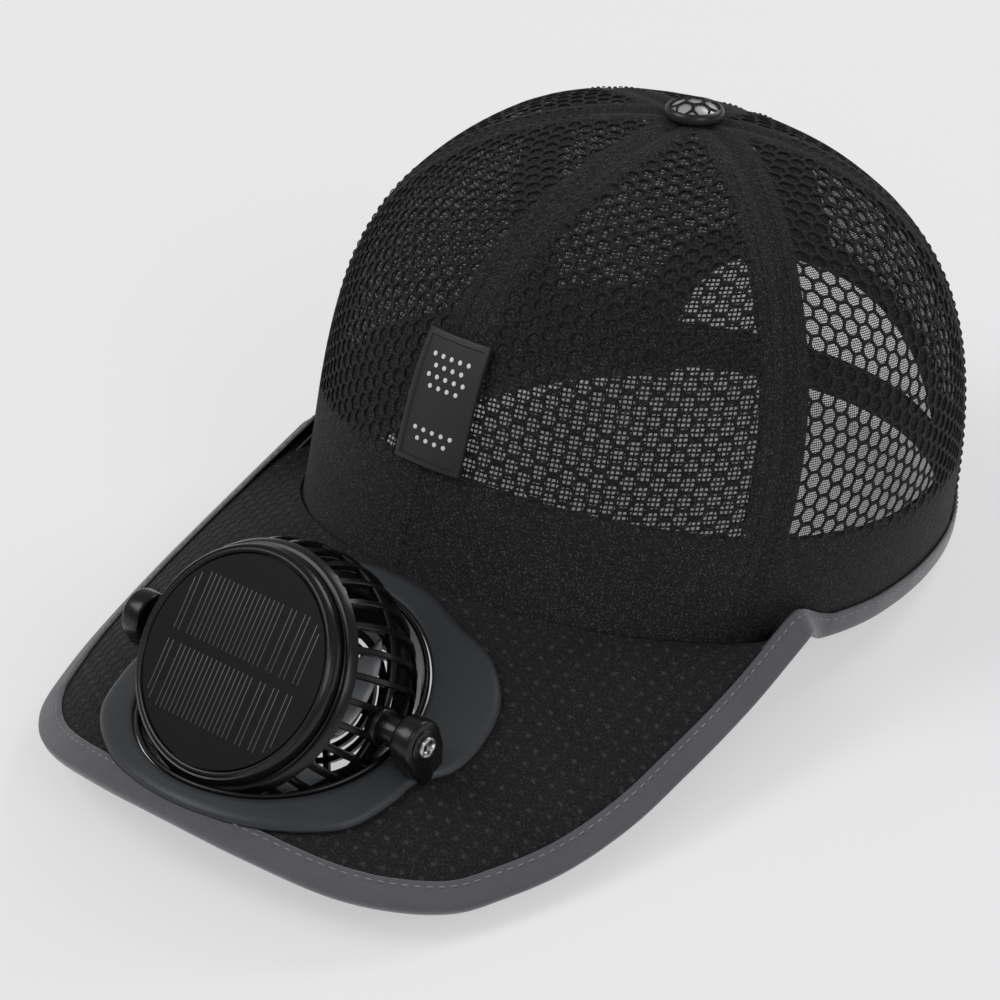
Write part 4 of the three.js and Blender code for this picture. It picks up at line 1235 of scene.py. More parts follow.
class PanelMap:
    """Flat map of one crown panel: u across from its middle, v up its middle, in mm."""

    def __init__(self, first: float, last: float) -> None:
        """Measures the panel.

        Args:
            first: angle of its first seam, in degrees.
            last: angle of its last seam, in degrees.
        """
        self.first, self.last = math.radians(first), math.radians(last)
        self.angles = np.linspace(self.first, self.last, 61)
        self.heights = CROWN.top * (1 - (1 - np.linspace(0, 1, 220)) ** 3)
        grid = CROWN.point(self.angles[None, :], self.heights[:, None])
        arcs = run_lengths(grid)
        self.arcs = arcs - arcs[:, 30:31]
        self.rises = run_lengths(grid[:, 30])

    def rows_at(self, z: np.ndarray) -> np.ndarray:
        """Arc lengths from the middle at each angle of the map, for each height."""
        row = np.interp(z, self.heights, np.arange(len(self.heights)))
        low = np.clip(row.astype(int), 0, len(self.heights) - 2)
        share = (row - low)[:, None]
        return self.arcs[low] * (1 - share) + self.arcs[low + 1] * share

    def locate(self, flat: np.ndarray) -> tuple[np.ndarray, np.ndarray, np.ndarray]:
        """Finds map places on the crown.

        Args:
            flat: places on the map.

        Returns:
            Angle, height and distance from the nearer seam, negative outside.
        """
        z = np.interp(flat[:, 1], self.rises, self.heights)
        arcs = self.rows_at(z)
        distance = np.minimum(flat[:, 0] - arcs[:, 0], arcs[:, -1] - flat[:, 0])
        u = np.clip(flat[:, 0], arcs[:, 0], arcs[:, -1])
        low = np.clip((arcs <= u[:, None]).sum(axis=1) - 1, 0, arcs.shape[1] - 2)
        each = np.arange(len(u))
        span = np.maximum(arcs[each, low + 1] - arcs[each, low], 1e-9)
        share = np.clip((u - arcs[each, low]) / span, 0, 1)
        angle = self.angles[low] + share * (self.angles[1] - self.angles[0])
        return angle, z, distance

    def flat_of(self, angle: np.ndarray, z: np.ndarray) -> np.ndarray:
        """Map places of points of the crown."""
        arcs = self.rows_at(z)
        place = np.clip((angle - self.first) / (self.last - self.first), 0, 1) * (arcs.shape[1] - 1)
        low = np.clip(place.astype(int), 0, arcs.shape[1] - 2)
        each = np.arange(len(z))
        u = arcs[each, low] + (place - low) * (arcs[each, low + 1] - arcs[each, low])
        return np.stack([u, np.interp(z, self.heights, self.rises)], axis=-1)


@dataclass(frozen=True)
class CrownPanels:
    """The six cloth panels of the crown: coarse net over a fine one, drawn in at the seams."""

    net: HexNet = HexNet()
    lining_offset: float = -0.62
    doubled_offset: float = -0.05
    groove: float = 0.75
    groove_width: float = 1.9
    button_cover: float = 5.0
    panels: tuple[tuple[str, float, Lining], ...] = (
        ("front_left", 0, Lining.DENSE), ("side_left", 60, Lining.OPEN),
        ("back_left", 120, Lining.OPEN), ("back_right", 180, Lining.OPEN),
        ("side_right", 240, Lining.OPEN), ("front_right", 300, Lining.DENSE),
    )

    def surface(self, angle: np.ndarray, z: np.ndarray, offset: np.ndarray, seam: np.ndarray) -> np.ndarray:
        """Point of a panel, drawn in beside its seams.

        Args:
            angle: turn round the crown.
            z: height.
            offset: offset from the outer surface.
            seam: distance from the nearer seam.

        Returns:
            Points in the hem frame.
        """
        drawn = self.groove * np.exp(-((np.clip(seam, 0, None) / self.groove_width) ** 2))
        ripple = 0.18 * np.sin(angle * 9 + z * 0.11) * np.sin(z * 0.07 + angle * 4)
        soft = np.clip(seam / 14, 0, 1) * np.clip((CROWN.top - z) / 20, 0, 1)
        return CROWN.at(angle, z, offset - drawn + (ripple - 0.18) * soft)

    def strands(self, name: str, sheet: PanelMap) -> bpy.types.Object:
        """Coarse net of one panel.

        Args:
            name: the piece's name.
            sheet: the panel's map.

        Returns:
            The piece.
        """
        wide = float(np.abs(sheet.arcs).max()) + self.net.pitch
        centres = self.net.centres((-wide, 0), (wide, sheet.rises[-1] - self.button_cover))
        angle, z, seam = sheet.locate(centres)
        kept = (seam > -0.45 * self.net.pitch) & (z > CROWN.hem(angle) - 0.45 * self.net.pitch)
        kept &= CROWN.arch_share(angle, z) > 1 - 0.5 * self.net.pitch / CROWN.arch_height
        flat, offsets, faces = self.net.cells(centres[kept])
        angle, z, seam = sheet.locate(flat)
        z = np.maximum(z, CROWN.hem(angle) + 0.2)
        angle, z = CROWN.clear_of_arch(angle, z)
        points = self.surface(angle, z, offsets, seam)
        points, kept_faces, _ = merged(points, faces)
        return new_object(name, HEM.world(points), kept_faces)

    def fine_net(self, name: str, sheet: PanelMap) -> bpy.types.Object:
        """Fine net of one panel, a single surface with its own map.

        Args:
            name: the piece's name.
            sheet: the panel's map.

        Returns:
            The piece.
        """
        columns, rows = 49, 73
        angles = np.linspace(sheet.first, sheet.last, columns)[None, :]
        share = (1 - (1 - np.linspace(0, 1, rows)) ** 1.8)[:, None]
        low = CROWN.hem(angles) + 0.3
        z = (low + (CROWN.top - low) * share).reshape(-1)
        angle = np.broadcast_to(angles, (rows, columns)).reshape(-1)
        inside = CROWN.arch_share(angle, z) < 0.995
        angle, z = CROWN.clear_of_arch(angle, z)
        flat = sheet.flat_of(angle, z)
        _, _, seam = sheet.locate(flat)
        height = z - CROWN.hem(angle)
        doubled = np.clip((7.4 - seam) / 1.6, 0, 1) + np.clip((30.0 - height) / 1.6, 0, 1)
        rise = (self.doubled_offset - self.lining_offset) * np.clip(doubled, 0, 1)
        points = self.surface(angle, z, self.lining_offset + rise, seam)
        faces = grid_faces(rows, columns)
        faces = faces[~inside[faces].all(axis=1)]
        points, kept, old = merged(points, faces)
        made = new_object(name, HEM.world(points), kept)
        set_uv(made, flat[old] / 10)
        border = np.column_stack([seam, height])
        set_uv(made, border[old] / 10, "border")
        return made

    def build(self) -> None:
        """Builds and dresses the twelve sheets."""
        for label, first, lining in self.panels:
            sheet = PanelMap(first, first + 60)
            strands = self.strands(f"net_{label}", sheet)
            cloth = self.fine_net(f"fine_net_{label}", sheet)
            dense = lining is Lining.DENSE
            WARDROBE.dress(strands, "strand", stands_for=[f"crown_panel_{label}"])
            WARDROBE.dress(
                cloth, "lining_dense" if dense else "lining_open"
            )
            width = float(sheet.arcs[:, -1].max() - sheet.arcs[:, 0].min())
            for piece in (cloth, strands):
                declare_sheet(width, float(sheet.rises[-1]), surface_area(cloth))

def surface_area(made: bpy.types.Object) -> float:
    """Area of all faces of a mesh."""
    areas = np.zeros(len(made.data.polygons))
    made.data.polygons.foreach_get("area", areas)
    return float(areas.sum())


def declare_sheet(
    width: float, length: float, area: Optional[float] = None
) -> None:
    """Works out the width and length that a piece of cloth was cut to, in metres; nothing further is done with them.

    Args:
        width: width of the cut, in mm.
        length: length of the cut, in mm.
        area: flat area of the cut in square metres, where it isn't a rectangle; not used.
    """
    wide, long = width * MM, length * MM
    wide, long = round(wide, 4), round(long, 4)

@dataclass(frozen=True)
class Stitching:
    """Rows of short stitches laid on a surface."""

    pitch: float = 3.0
    length: float = 2.1
    radius: float = 0.24

    def row(self, name: str, line: np.ndarray, normals: np.ndarray, place: Place) -> bpy.types.Object:
        """One row of stitches.

        Args:
            name: the piece's name.
            line: points of the row, in mm.
            normals: the surface's normals there.
            place: the frame of the points.

        Returns:
            The piece.
        """
        lengths = run_lengths(line)
        shares = np.array([-1.0, -0.6, 0.0, 0.6, 1.0])
        thick = np.array([0.25, 0.85, 1.0, 0.85, 0.25])
        lift = np.array([-0.55, 0.3, 0.6, 0.3, -0.55])
        turn = np.arange(6) * TAU / 6
        one = np.array(skin_faces(5, 6, False)[:24]), np.array(skin_faces(5, 6, False)[24:])
        points, faces = [], []
        for i in range(int(lengths[-1] // self.pitch)):
            middle = (i + 0.5) * self.pitch
            spine = along_line(line, lengths, middle + shares * self.length / 2)
            normal = unit(along_line(normals, lengths, middle))
            across = np.cross(unit(spine[-1] - spine[0]), normal)
            ring = np.cos(turn)[:, None] * across + np.sin(turn)[:, None] * normal
            body = (
                spine[:, None] + ring[None] * (thick * self.radius)[:, None, None]
                + normal * (lift * self.radius)[:, None, None]
            )
            points.append(body.reshape(-1, 3))
            for kind in one:
                faces += (kind + i * 30).tolist()
        return outward(new_object(name, place.world(np.concatenate(points)), faces))


@dataclass(frozen=True)
class CrownTapes:
    """Seam tapes, arch tape, sweatband and back strap inside the crown, with their stitches."""
    low: float = -2.8
    high: float = -2.0
    seam_width: float = 13.0
    sweatband_bottom: float = 7.1
    sweatband_top: float = 29.0
    sweatband_wall: tuple[float, float] = (-3.2, -2.0)
    sweatband_end: float = 126.0
    strap_low: float = 5.5
    strap_high: float = 21.0
    strap_half: float = 61.0
    strap_wall: tuple[float, float] = (-4.8, -3.4)
    arch_tape_width: float = 10.0
    seams: tuple[tuple[str, float], ...] = (
        ("front", 0), ("front_left", 60), ("back_left", 120),
        ("back", 180), ("back_right", 240), ("front_right", 300),
    )
    stitches: Stitching = Stitching(2.9, 2.0, 0.2)
    stitch_beside: float = 3.1
    def band(
        self, name: str, stations: np.ndarray, section: np.ndarray, along: np.ndarray,
        width: float, length: float,
    ) -> None:
        """One band of tape with its own map in centimetres.

        Args:
            name: the solid that it stands for.
            stations: its sections, in the hem frame.
            section: one section as across and offset.
            along: how far along the tape each section lies.
            width: width of its cut.
            length: length of its cut.
        """
        made = swept(f"{name}_cloth", stations, False, HEM)
        across = np.tile(section[:, 0], len(along))
        set_uv(made, np.stack([across, np.repeat(along, len(section))], axis=-1) / 10)
        WARDROBE.dress(made, "tape", stands_for=[name])
        declare_sheet(width, length)

    def threads(self, name: str, lines: Sequence[tuple]) -> None:
        """Rows of dark stitches on the crown.

        Args:
            name: the piece's name.
            lines: angles, heights and offset of each row.
        """
        rows = []
        for angle, z, offset in lines:
            _, normals = CROWN.tangents(angle, z)
            rows.append(self.stitches.row("row", CROWN.point(angle, z) + normals * offset, normals, HEM))
        WARDROBE.dress(joined(name, rows), "thread_dark")

    def seam(self, label: str, degrees: float) -> None:
        """One seam tape with the two stitch rows beside its seam."""
        angle, back = math.radians(degrees), label == "back"
        hem = float(CROWN.hem(angle))
        start = 62.4 if back else hem + self.sweatband_top + 2.4
        z = start + (CROWN.top - 0.35 - start) * (1 - (1 - np.linspace(0, 1, 60)) ** 2)
        section = band_section(self.seam_width / 2, self.low, self.high, 0.1, 7)
        radius = np.maximum(CROWN.radius(angle, z), self.seam_width * 0.6)[:, None]
        stations = CROWN.at(angle + section[:, 0] / radius, z[:, None], section[:, 1])
        length = float(run_lengths(CROWN.point(angle, z))[-1])
        self.band(f"seam_tape_{label}", stations, section, z, self.seam_width, length)
        z = np.linspace(54.0 if back else hem + 2, CROWN.height * 0.985, 160)
        beside = self.stitch_beside / CROWN.radius(angle, z)
        self.threads(f"seam_stitches_{label}", [(angle + side.value * beside, z, 0.02) for side in Side])

    def sweatband(self) -> None:
        """Sweatband round the inside of the hem."""
        end = math.radians(self.sweatband_end)
        angles = np.linspace(-end, end, 160)
        width = self.sweatband_top - self.sweatband_bottom
        section = band_section(width / 2, *self.sweatband_wall, 0.0, 9)
        middle = (self.sweatband_bottom + self.sweatband_top) / 2
        z = CROWN.hem(angles)[:, None] + middle + section[:, 0]
        stations = CROWN.at(angles[:, None], z, section[:, 1])
        length = float(run_lengths(CROWN.point(angles, z[:, 0]))[-1])
        along = np.linspace(0, length, len(angles))
        self.band("sweatband", stations, section, along, width, length)

    def back_strap(self) -> None:
        """Elastic strap across the rear opening, with two rows of stitches along it."""
        x = np.linspace(-self.strap_half, self.strap_half, 90)
        middle, width = (self.strap_low + self.strap_high) / 2, self.strap_high - self.strap_low
        section = band_section(width / 2, *self.strap_wall, 0.15, 9)
        z = middle + section[:, 0]
        ribs = 0.12 * np.sin(x * TAU / 2.4)[:, None] * (np.abs(section[:, 0]) < 7)
        stations = CROWN.at(CROWN.rear_angle(x[:, None], z), z, section[:, 1] + ribs)
        length = float(run_lengths(CROWN.point(CROWN.rear_angle(x, middle), middle))[-1])
        self.band("back_strap", stations, section, x, width, length)
        over, levels = self.strap_wall[1] + 0.1, (self.strap_low + 2.2, self.strap_high - 2.2)
        self.threads("strap_stitches", [(CROWN.rear_angle(x, z), z, over) for z in levels])

    @staticmethod
    def beside_arch(turn: np.ndarray, outward_by: np.ndarray) -> tuple[np.ndarray, np.ndarray]:
        """Angles and heights of places outside the edge of the rear opening."""
        x, z = CROWN.arch(turn, outward_by)
        z = np.maximum(z, 3.0)
        return CROWN.rear_angle(x, z), z

    def arch_tape(self) -> None:
        """Tape round the rear opening, with two stitch rows on the crown outside it."""
        reach, half = math.radians(88), self.arch_tape_width / 2
        turn = np.linspace(-reach, reach, 120)
        section = band_section(half, self.low, self.high, 0.1, 6)
        angles, z = self.beside_arch(turn[:, None], section[:, 0] + half)
        stations = CROWN.at(angles, z, section[:, 1])
        middle_x, middle_z = CROWN.arch(turn, half)
        middle = CROWN.point(CROWN.rear_angle(middle_x, middle_z), middle_z)
        length = float(run_lengths(middle)[-1])
        along = np.linspace(0, length, len(turn))
        self.band("arch_tape", stations, section, along, self.arch_tape_width, length)
        self.threads("arch_stitches", [(*self.beside_arch(turn, out), 0.0) for out in (1.6, 6.4)])
    def build(self) -> None:
        """Builds every band inside the crown."""
        for label, degrees in self.seams:
            self.seam(label, degrees)
        self.sweatband()
        self.back_strap()
        self.arch_tape()


@dataclass(frozen=True)
class CrownButton:
    """Metal button on the crown's top, under a stretched piece of the coarse net."""

    radius: float = 8.0
    height: float = 4.6
    seat: float = 113.7
    setback: float = 17.4
    net: HexNet = HexNet(pitch=4.6, strand=0.85, stretch=1.0, depth=0.3, hollow=0.12)

    def dome(self, distance: np.ndarray) -> np.ndarray:
        """Height of the dome at a distance from its middle."""
        share = np.clip(distance / (self.radius - 0.15), 0, 1)
        return (self.height - 0.3) * (1 - 0.86 * share**3.2)

    def build(self) -> None:
        """Builds the metal dome, its rim and the net over it."""
        centre = Place(HEM.turn, HEM.origin + HEM.turn @ np.array([0, self.setback, self.seat]))
        steps = np.linspace(0, 1, 14)
        arc = [(float(s) * (self.radius - 1.0), float(self.dome(s * (self.radius - 1.0))) - 0.3) for s in steps]
        metal = lathe("button_dome", arc + [(self.radius - 1.0, 0.3), (0.0, 0.3)], 64)
        WARDROBE.dress(placed(metal, centre), "button", stands_for=["crown_button"])
        rim = lathe("button_rim", [
            (5.2, 0.0), (7.6, 0.0), (8.0, 0.5), (8.0, 1.5), (7.8, 2.2), (7.3, 2.75), (6.9, 2.95), (6.6, 2.6),
            (6.4, 1.0), (5.2, 0.6),
        ], 72)
        WARDROBE.dress(placed(rim, centre), "rim")
        reach = self.radius - 0.5
        centres = self.net.centres((-reach, -reach), (reach, reach))
        centres = centres[np.hypot(*centres.T) < reach - 1.2]
        flat, offsets, faces = self.net.cells(centres)
        distance = np.hypot(*flat.T)
        shrink = np.minimum(1, (reach - 0.2) / np.maximum(distance, 1e-6))
        flat = flat * shrink[:, None]
        points = np.column_stack([flat, self.dome(np.hypot(*flat.T)) + offsets + 0.25])
        points, kept, _ = merged(points, faces)
        made = new_object("button_net", centre.world(points), kept)
        WARDROBE.dress(made, "strand")
        declare_sheet(2 * self.radius, 2 * self.radius, surface_area(made))


@dataclass(frozen=True)
class FrontLabel:
    """Rubber label on the front seam with a raised rim and a plain pattern of dots."""

    width: float = 22.0
    height: float = 33.8
    middle: float = 62.2
    seat: float = 0.6
    wall: float = 1.6
    rim: float = 1.1
    rim_height: float = 0.45
    dot_radius: float = 0.62
    blocks: tuple[tuple[float, int, int], ...] = ((-7.5, 5, 4), (9.0, 5, 2))

    def at(self, across: np.ndarray, up: np.ndarray, offset: np.ndarray) -> np.ndarray:
        """Point over the label's seat.

        Args:
            across: mm to the wearer's left of its middle.
            up: mm above its middle.
            offset: mm off the crown.

        Returns:
            Points in the hem frame.
        """
        rise, _ = CROWN.tangents(np.zeros(1), np.full(1, self.middle))
        z = self.middle + up * float(rise[0, 2])
        angle = across / CROWN.radius(0.0, self.middle)
        return CROWN.at(angle, z, offset)

    def laid(self, made: bpy.types.Object) -> bpy.types.Object:
        """Lays a flat mesh on the crown at the label's place."""
        return moved(made, lambda p: HEM.world(self.at(p[:, 0], p[:, 1], p[:, 2] + self.seat)))
    def build(self) -> None:
        """Builds the label and its dots."""
        body = block("label_body", (self.width, self.height, self.wall), (0, 0, self.wall / 2), 0.35)
        only(body)
        bpy.ops.object.mode_set(mode="EDIT")
        bpy.ops.mesh.select_all(action="DESELECT")
        bpy.ops.object.mode_set(mode="OBJECT")
        for face in body.data.polygons:
            face.select = face.normal.z > 0.9 and face.area > 300
        bpy.ops.object.mode_set(mode="EDIT")
        bpy.ops.mesh.inset(thickness=self.rim, depth=0)
        bpy.ops.mesh.inset(thickness=0.25, depth=-self.rim_height)
        bpy.ops.mesh.select_all(action="SELECT")
        bpy.ops.mesh.subdivide(number_cuts=5)
        bpy.ops.object.mode_set(mode="OBJECT")
        rubber = smoothed(self.laid(joined("label_rubber_patch", [body])), 30.0)
        WARDROBE.dress(rubber, "rubber", stands_for=["front_label"])
        dots = []
        base = self.wall - self.rim_height
        for middle, columns, rows in self.blocks:
            for j in range(rows):
                for i in range(columns - (j % 2)):
                    x = (i - (columns - 1 - (j % 2)) / 2) * 3.0
                    y = -middle + ((rows - 1) / 2 - j) * 2.6
                    ends = (base - 0.1, base + 0.35)
                    dots.append(rod("dot", self.dot_radius, ends, "Z", 0.15, 12, (x, y, 0)))
        WARDROBE.dress(self.laid(joined("label_dots", dots)), "motif")


class BillTop:
    """The bill's top surface, which the net and the fan's plate lie on."""

    def __init__(self, rows: int = 200, columns: int = 40) -> None:
        """Builds the surface in the bill frame."""
        share, along = np.meshgrid(np.linspace(0, 1, rows), np.linspace(0, 1, columns), indexing="ij")
        grid = BRIM.point(share, along, 0.0)
        self.tree = BVHTree.FromPolygons(grid.reshape(-1, 3).tolist(), grid_faces(rows, columns).tolist())
        normal = np.cross(grid[1:, :-1] - grid[:-1, :-1], grid[:-1, 1:] - grid[:-1, :-1]).reshape(-1, 3)
        self.normals = unit(normal * np.where(normal[:, 2:] < 0, -1, 1), 1e-9)

    def under(self, flat: np.ndarray) -> tuple[np.ndarray, np.ndarray]:
        """Finds the surface under places given as x and forward.

        Args:
            flat: the places.

        Returns:
            Points and normals of the surface.
        """
        hits, normals = np.zeros((len(flat), 3)), np.zeros((len(flat), 3))
        for i, (x, forward) in enumerate(flat):
            place, _, number, _ = self.tree.ray_cast(Vector((x, -forward, 80)), Vector((0, 0, -1)))
            if place is None:
                place, _, number, _ = self.tree.find_nearest(Vector((x, -forward, -5)))
            hits[i], normals[i] = place, self.normals[number]
        return hits, normals


BILL_TOP = BillTop()


@dataclass(frozen=True)
class BillPieces:
    """Bill board in cloth, coarse net stretched over it, edge binding and its stitches."""

    net: HexNet = HexNet(pitch=4.4, strand=0.8, stretch=1.03, depth=0.22, hollow=0.03)
    columns: int = 128
    rows: int = 26
    hole_radius: float = 38.5
    hole_forward: float = 41.0
    net_lift: float = 0.07
    leg: float = 6.5
    kink_angle: float = 78.5
    kink_leg: float = 0.9
    bridge_steps: int = 18
    hem_wall: float = 1.4
    stitches: Stitching = Stitching(3.0, 2.0, 0.2)

    def board(self) -> None:
        """Stiff board of the bill, covered in cloth, with the fan's hole through it."""
        share, along = np.meshgrid(
            np.linspace(0, 1, self.columns), np.linspace(0, 1, self.rows), indexing="ij"
        )
        layers = [BRIM.point(share, along, offset).reshape(-1, 3) for offset in (0.0, -BRIM.wall)]
        points = np.concatenate(layers)
        made = outward(new_object("bill_board", points, slab_faces(self.columns, self.rows)))
        set_uv(made, points[:, :2] * (1, -1) / 10)
        centre = (0, -self.hole_forward, 0)
        cut_by(made, rod("bill_cutter", self.hole_radius, (-60, 60), "Z", 0.01, 96, centre))
        placed(smoothed(made), BILL)
        WARDROBE.dress(made, "bill_cloth", stands_for=["bill"])
        made.data.materials.append(WARDROBE.of("under_cloth"))
        up = np.array(BILL.turn[:, 2])
        for face in made.data.polygons:
            face.material_index = 0 if float(np.dot(face.normal, up)) > 0.2 else 1

    def mesh_cover(self) -> None:
        """Coarse net over the bill's top."""
        centres = self.net.centres((-BRIM.half_width, -50), (BRIM.half_width, BRIM.reach))
        outline = np.vstack(
            [
                BRIM.edge(np.linspace(0, 1, 160), BRIM.edge_inset + 2.4),
                (BRIM.join(np.linspace(1, 0, 160))[:, :2] * (1, -1)),
            ]
        )
        kept = inside_outline(centres, outline)
        kept &= np.hypot(centres[:, 0], centres[:, 1] - self.hole_forward) > self.hole_radius + 4.5
        flat, offsets, faces = self.net.cells(centres[kept])
        unique, back = np.unique(np.round(flat, 3), axis=0, return_inverse=True)
        back = back.reshape(-1)
        out = ~inside_outline(unique, outline)
        unique[out] = nearest_on(unique[out], outline)
        hits, normals = BILL_TOP.under(unique)
        points = hits[back] + normals[back] * (offsets + self.net_lift)[:, None]
        points, kept_faces, _ = merged(points, faces)
        made = new_object("bill_net", BILL.world(points), kept_faces)
        WARDROBE.dress(made, "bill_strand")
        declare_sheet(2 * BRIM.half_width, 135.0, surface_area(made))

    def section(self, wall: float, leg: float) -> np.ndarray:
        """Section of the folded tape as depth inside the edge and height over the sheet."""
        upper = [
            (leg, 0.2), (leg + 0.05, 0.5), (leg - 0.25, 0.72), (leg * 0.6, 0.86), (leg * 0.25, 0.95),
            (0.1, 0.95), (-0.55, 0.72), (-1.0, 0.25),
        ]
        outer = upper + [(-1.18, -wall / 2)] + [(d, -wall - h) for d, h in reversed(upper)]
        inner = [(leg * 0.5, -wall - 0.15), (-0.3, -wall - 0.1), (-0.3, 0.1), (leg * 0.5, 0.15)]
        return np.array(outer + inner)

    def bill_frames(self, shares: np.ndarray) -> tuple[np.ndarray, np.ndarray, np.ndarray]:
        """Edge points, inward directions and normals along the bill, in the hem frame."""

        def at(share: np.ndarray, along: float) -> np.ndarray:
            """Points of the bill in the hem frame."""
            return HEM.from_world(BILL.world(BRIM.point(np.clip(share, 0, 1), along, 0.0)))

        edge = at(shares, 1.0)
        ahead = unit(at(shares + 0.004, 1.0) - at(shares - 0.004, 1.0))
        inside = at(shares, 0.9) - edge
        normal = unit(np.cross(ahead, inside))
        normal *= np.where(normal[:, 2:] < 0, -1, 1)
        inward = np.cross(normal, ahead)
        inward *= np.sign(np.sum(inward * inside, axis=1))[:, None]
        return edge, inward, normal

    def hem_frames(self, angles: np.ndarray) -> tuple[np.ndarray, np.ndarray, np.ndarray]:
        """Edge points, inward directions and normals along the hem, in the hem frame."""
        z = CROWN.hem(angles)
        up, normal = CROWN.tangents(angles, z)
        return CROWN.point(angles, z), up, normal

    def binding_path(self) -> tuple[np.ndarray, np.ndarray, np.ndarray, np.ndarray, np.ndarray]:
        """Whole path of the binding from arch end to arch end.

        Returns:
            Edge points, inward directions, normals, sheet walls and leg lengths.
        """
        turned, on_bill = 90, 260
        arch_end = float(CROWN.rear_angle(CROWN.arch_half_width, 0.0)) - math.radians(0.5)
        angles = np.linspace(arch_end, math.radians(self.kink_angle), turned)
        right = self.hem_frames(-angles)
        middle = self.bill_frames(np.linspace(0, 1, on_bill))
        left = self.hem_frames(angles[::-1])
        runs = []
        for a, b, c in zip(right, middle, left):
            curved = a is right[0]
            runs.append(np.concatenate([a, self.bridge(a, b, curved), b, self.bridge(b, c, curved), c]))
        count, gap = len(runs[0]), self.bridge_steps
        first, last, place = turned, turned + on_bill + gap, np.arange(count)
        share = np.interp(place, [first, first + gap, last, last + gap], [0, 1, 1, 0])
        walls = self.hem_wall + (BRIM.wall - self.hem_wall) * share
        legs = np.full(count, self.leg)
        for start in (first, last):
            near = np.exp(-(((place - start - gap / 2) / 6.0) ** 2))
            legs -= self.leg * (1 - self.kink_leg) * near
        fine = np.linspace(0, count - 1, 960)
        edge, inward, normal = (along_line(run, place, fine) for run in runs)
        walls, legs = np.interp(fine, place, walls), np.interp(fine, place, legs)
        return edge, unit(inward), unit(normal), walls, legs
    def bridge(self, first: np.ndarray, last: np.ndarray, curved: bool) -> np.ndarray:
        """Rows between two runs of the binding, where it leaves the bill for the hem.

        Args:
            first: the run before.
            last: the run after.
            curved: whether the rows are places, which leave and meet the runs along them.

        Returns:
            The rows.
        """
        t = np.linspace(0, 1, self.bridge_steps + 2)[1:-1, None]
        if not curved:
            return first[-1] * (1 - t) + last[0] * t
        length = np.linalg.norm(last[0] - first[-1])
        leaves, meets = unit(first[-1] - first[-2]) * length, unit(last[1] - last[0]) * length
        start = first[-1] * (1 + 2 * t) * (1 - t) ** 2 + leaves * t * (1 - t) ** 2
        return start + last[0] * t**2 * (3 - 2 * t) + meets * t**2 * (t - 1)

    def binding(self) -> None:
        """Folded tape over the bill's edge and the hem, lightly puckered, with its stitch row."""
        edge, inward, normal, walls, legs = self.binding_path()
        run = run_lengths(edge)
        stations, maps = [], []
        for i in range(len(edge)):
            section = self.section(walls[i], legs[i])
            pucker = 0.09 * math.sin(run[i] / 1.7) * math.sin(run[i] / 7.3 + 1)
            pucker += 0.07 * math.sin(run[i] / 3.1 + 2)
            swell = np.where(section[:, 1] > 0.3, pucker, 0) * np.clip(section[:, 0] / 5, 0, 1)
            low_swell = np.where(section[:, 1] < -walls[i] - 0.3, -pucker, 0)
            height = section[:, 1] + swell + low_swell * 0.8
            stations.append(edge[i] + section[:, :1] * inward[i] + height[:, None] * normal[i])
            lengths = np.linalg.norm(np.diff(section, axis=0, append=section[:1]), axis=1)
            maps.append(np.column_stack([np.full(len(section), run[i]), np.cumsum(lengths)]))
        made = swept("edge_binding_tape", np.array(stations), False, HEM)
        set_uv(made, np.concatenate(maps) / 10)
        WARDROBE.dress(made, "binding", stands_for=["edge_binding"])
        width = 2 * self.leg + BRIM.wall + 3.0
        declare_sheet(width, float(run[-1]))
        line = edge + inward * (legs - 1.5)[:, None]
        for name, raised, facing in (
            ("binding_stitches", line + normal * 0.78, normal),
            ("binding_stitches_under", line - normal * (walls + 0.8)[:, None], -normal),
        ):
            WARDROBE.dress(self.stitches.row(name, raised, facing, HEM), "thread")
    def build(self) -> None:
        """Builds the bill's pieces."""
        self.board()
        self.mesh_cover()
        self.binding()


def inside_outline(points: np.ndarray, outline: np.ndarray) -> np.ndarray:
    """Whether points lie inside a closed outline.

    Args:
        points: the points.
        outline: corners of the outline.

    Returns:
        True for each point inside.
    """
    inside = np.zeros(len(points), bool)
    for a, b in zip(outline, np.roll(outline, -1, axis=0)):
        crosses = (a[1] > points[:, 1]) != (b[1] > points[:, 1])
        slope = (b[0] - a[0]) / (b[1] - a[1] if b[1] != a[1] else 1e-12)
        inside ^= crosses & (points[:, 0] < a[0] + slope * (points[:, 1] - a[1]))
    return inside


def nearest_on(points: np.ndarray, outline: np.ndarray) -> np.ndarray:
    """Nearest points of a closed outline.

    Args:
        points: the points.
        outline: corners of the outline.

    Returns:
        The nearest point of the outline to each.
    """
    start, ahead = outline, np.roll(outline, -1, axis=0) - outline
    square = np.maximum((ahead**2).sum(axis=1), 1e-12)
    share = np.clip(((points[:, None] - start[None]) * ahead[None]).sum(axis=2) / square, 0, 1)
    places = start[None] + share[..., None] * ahead[None]
    best = np.argmin(((places - points[:, None]) ** 2).sum(axis=2), axis=1)
    return places[np.arange(len(points)), best]


# The fan


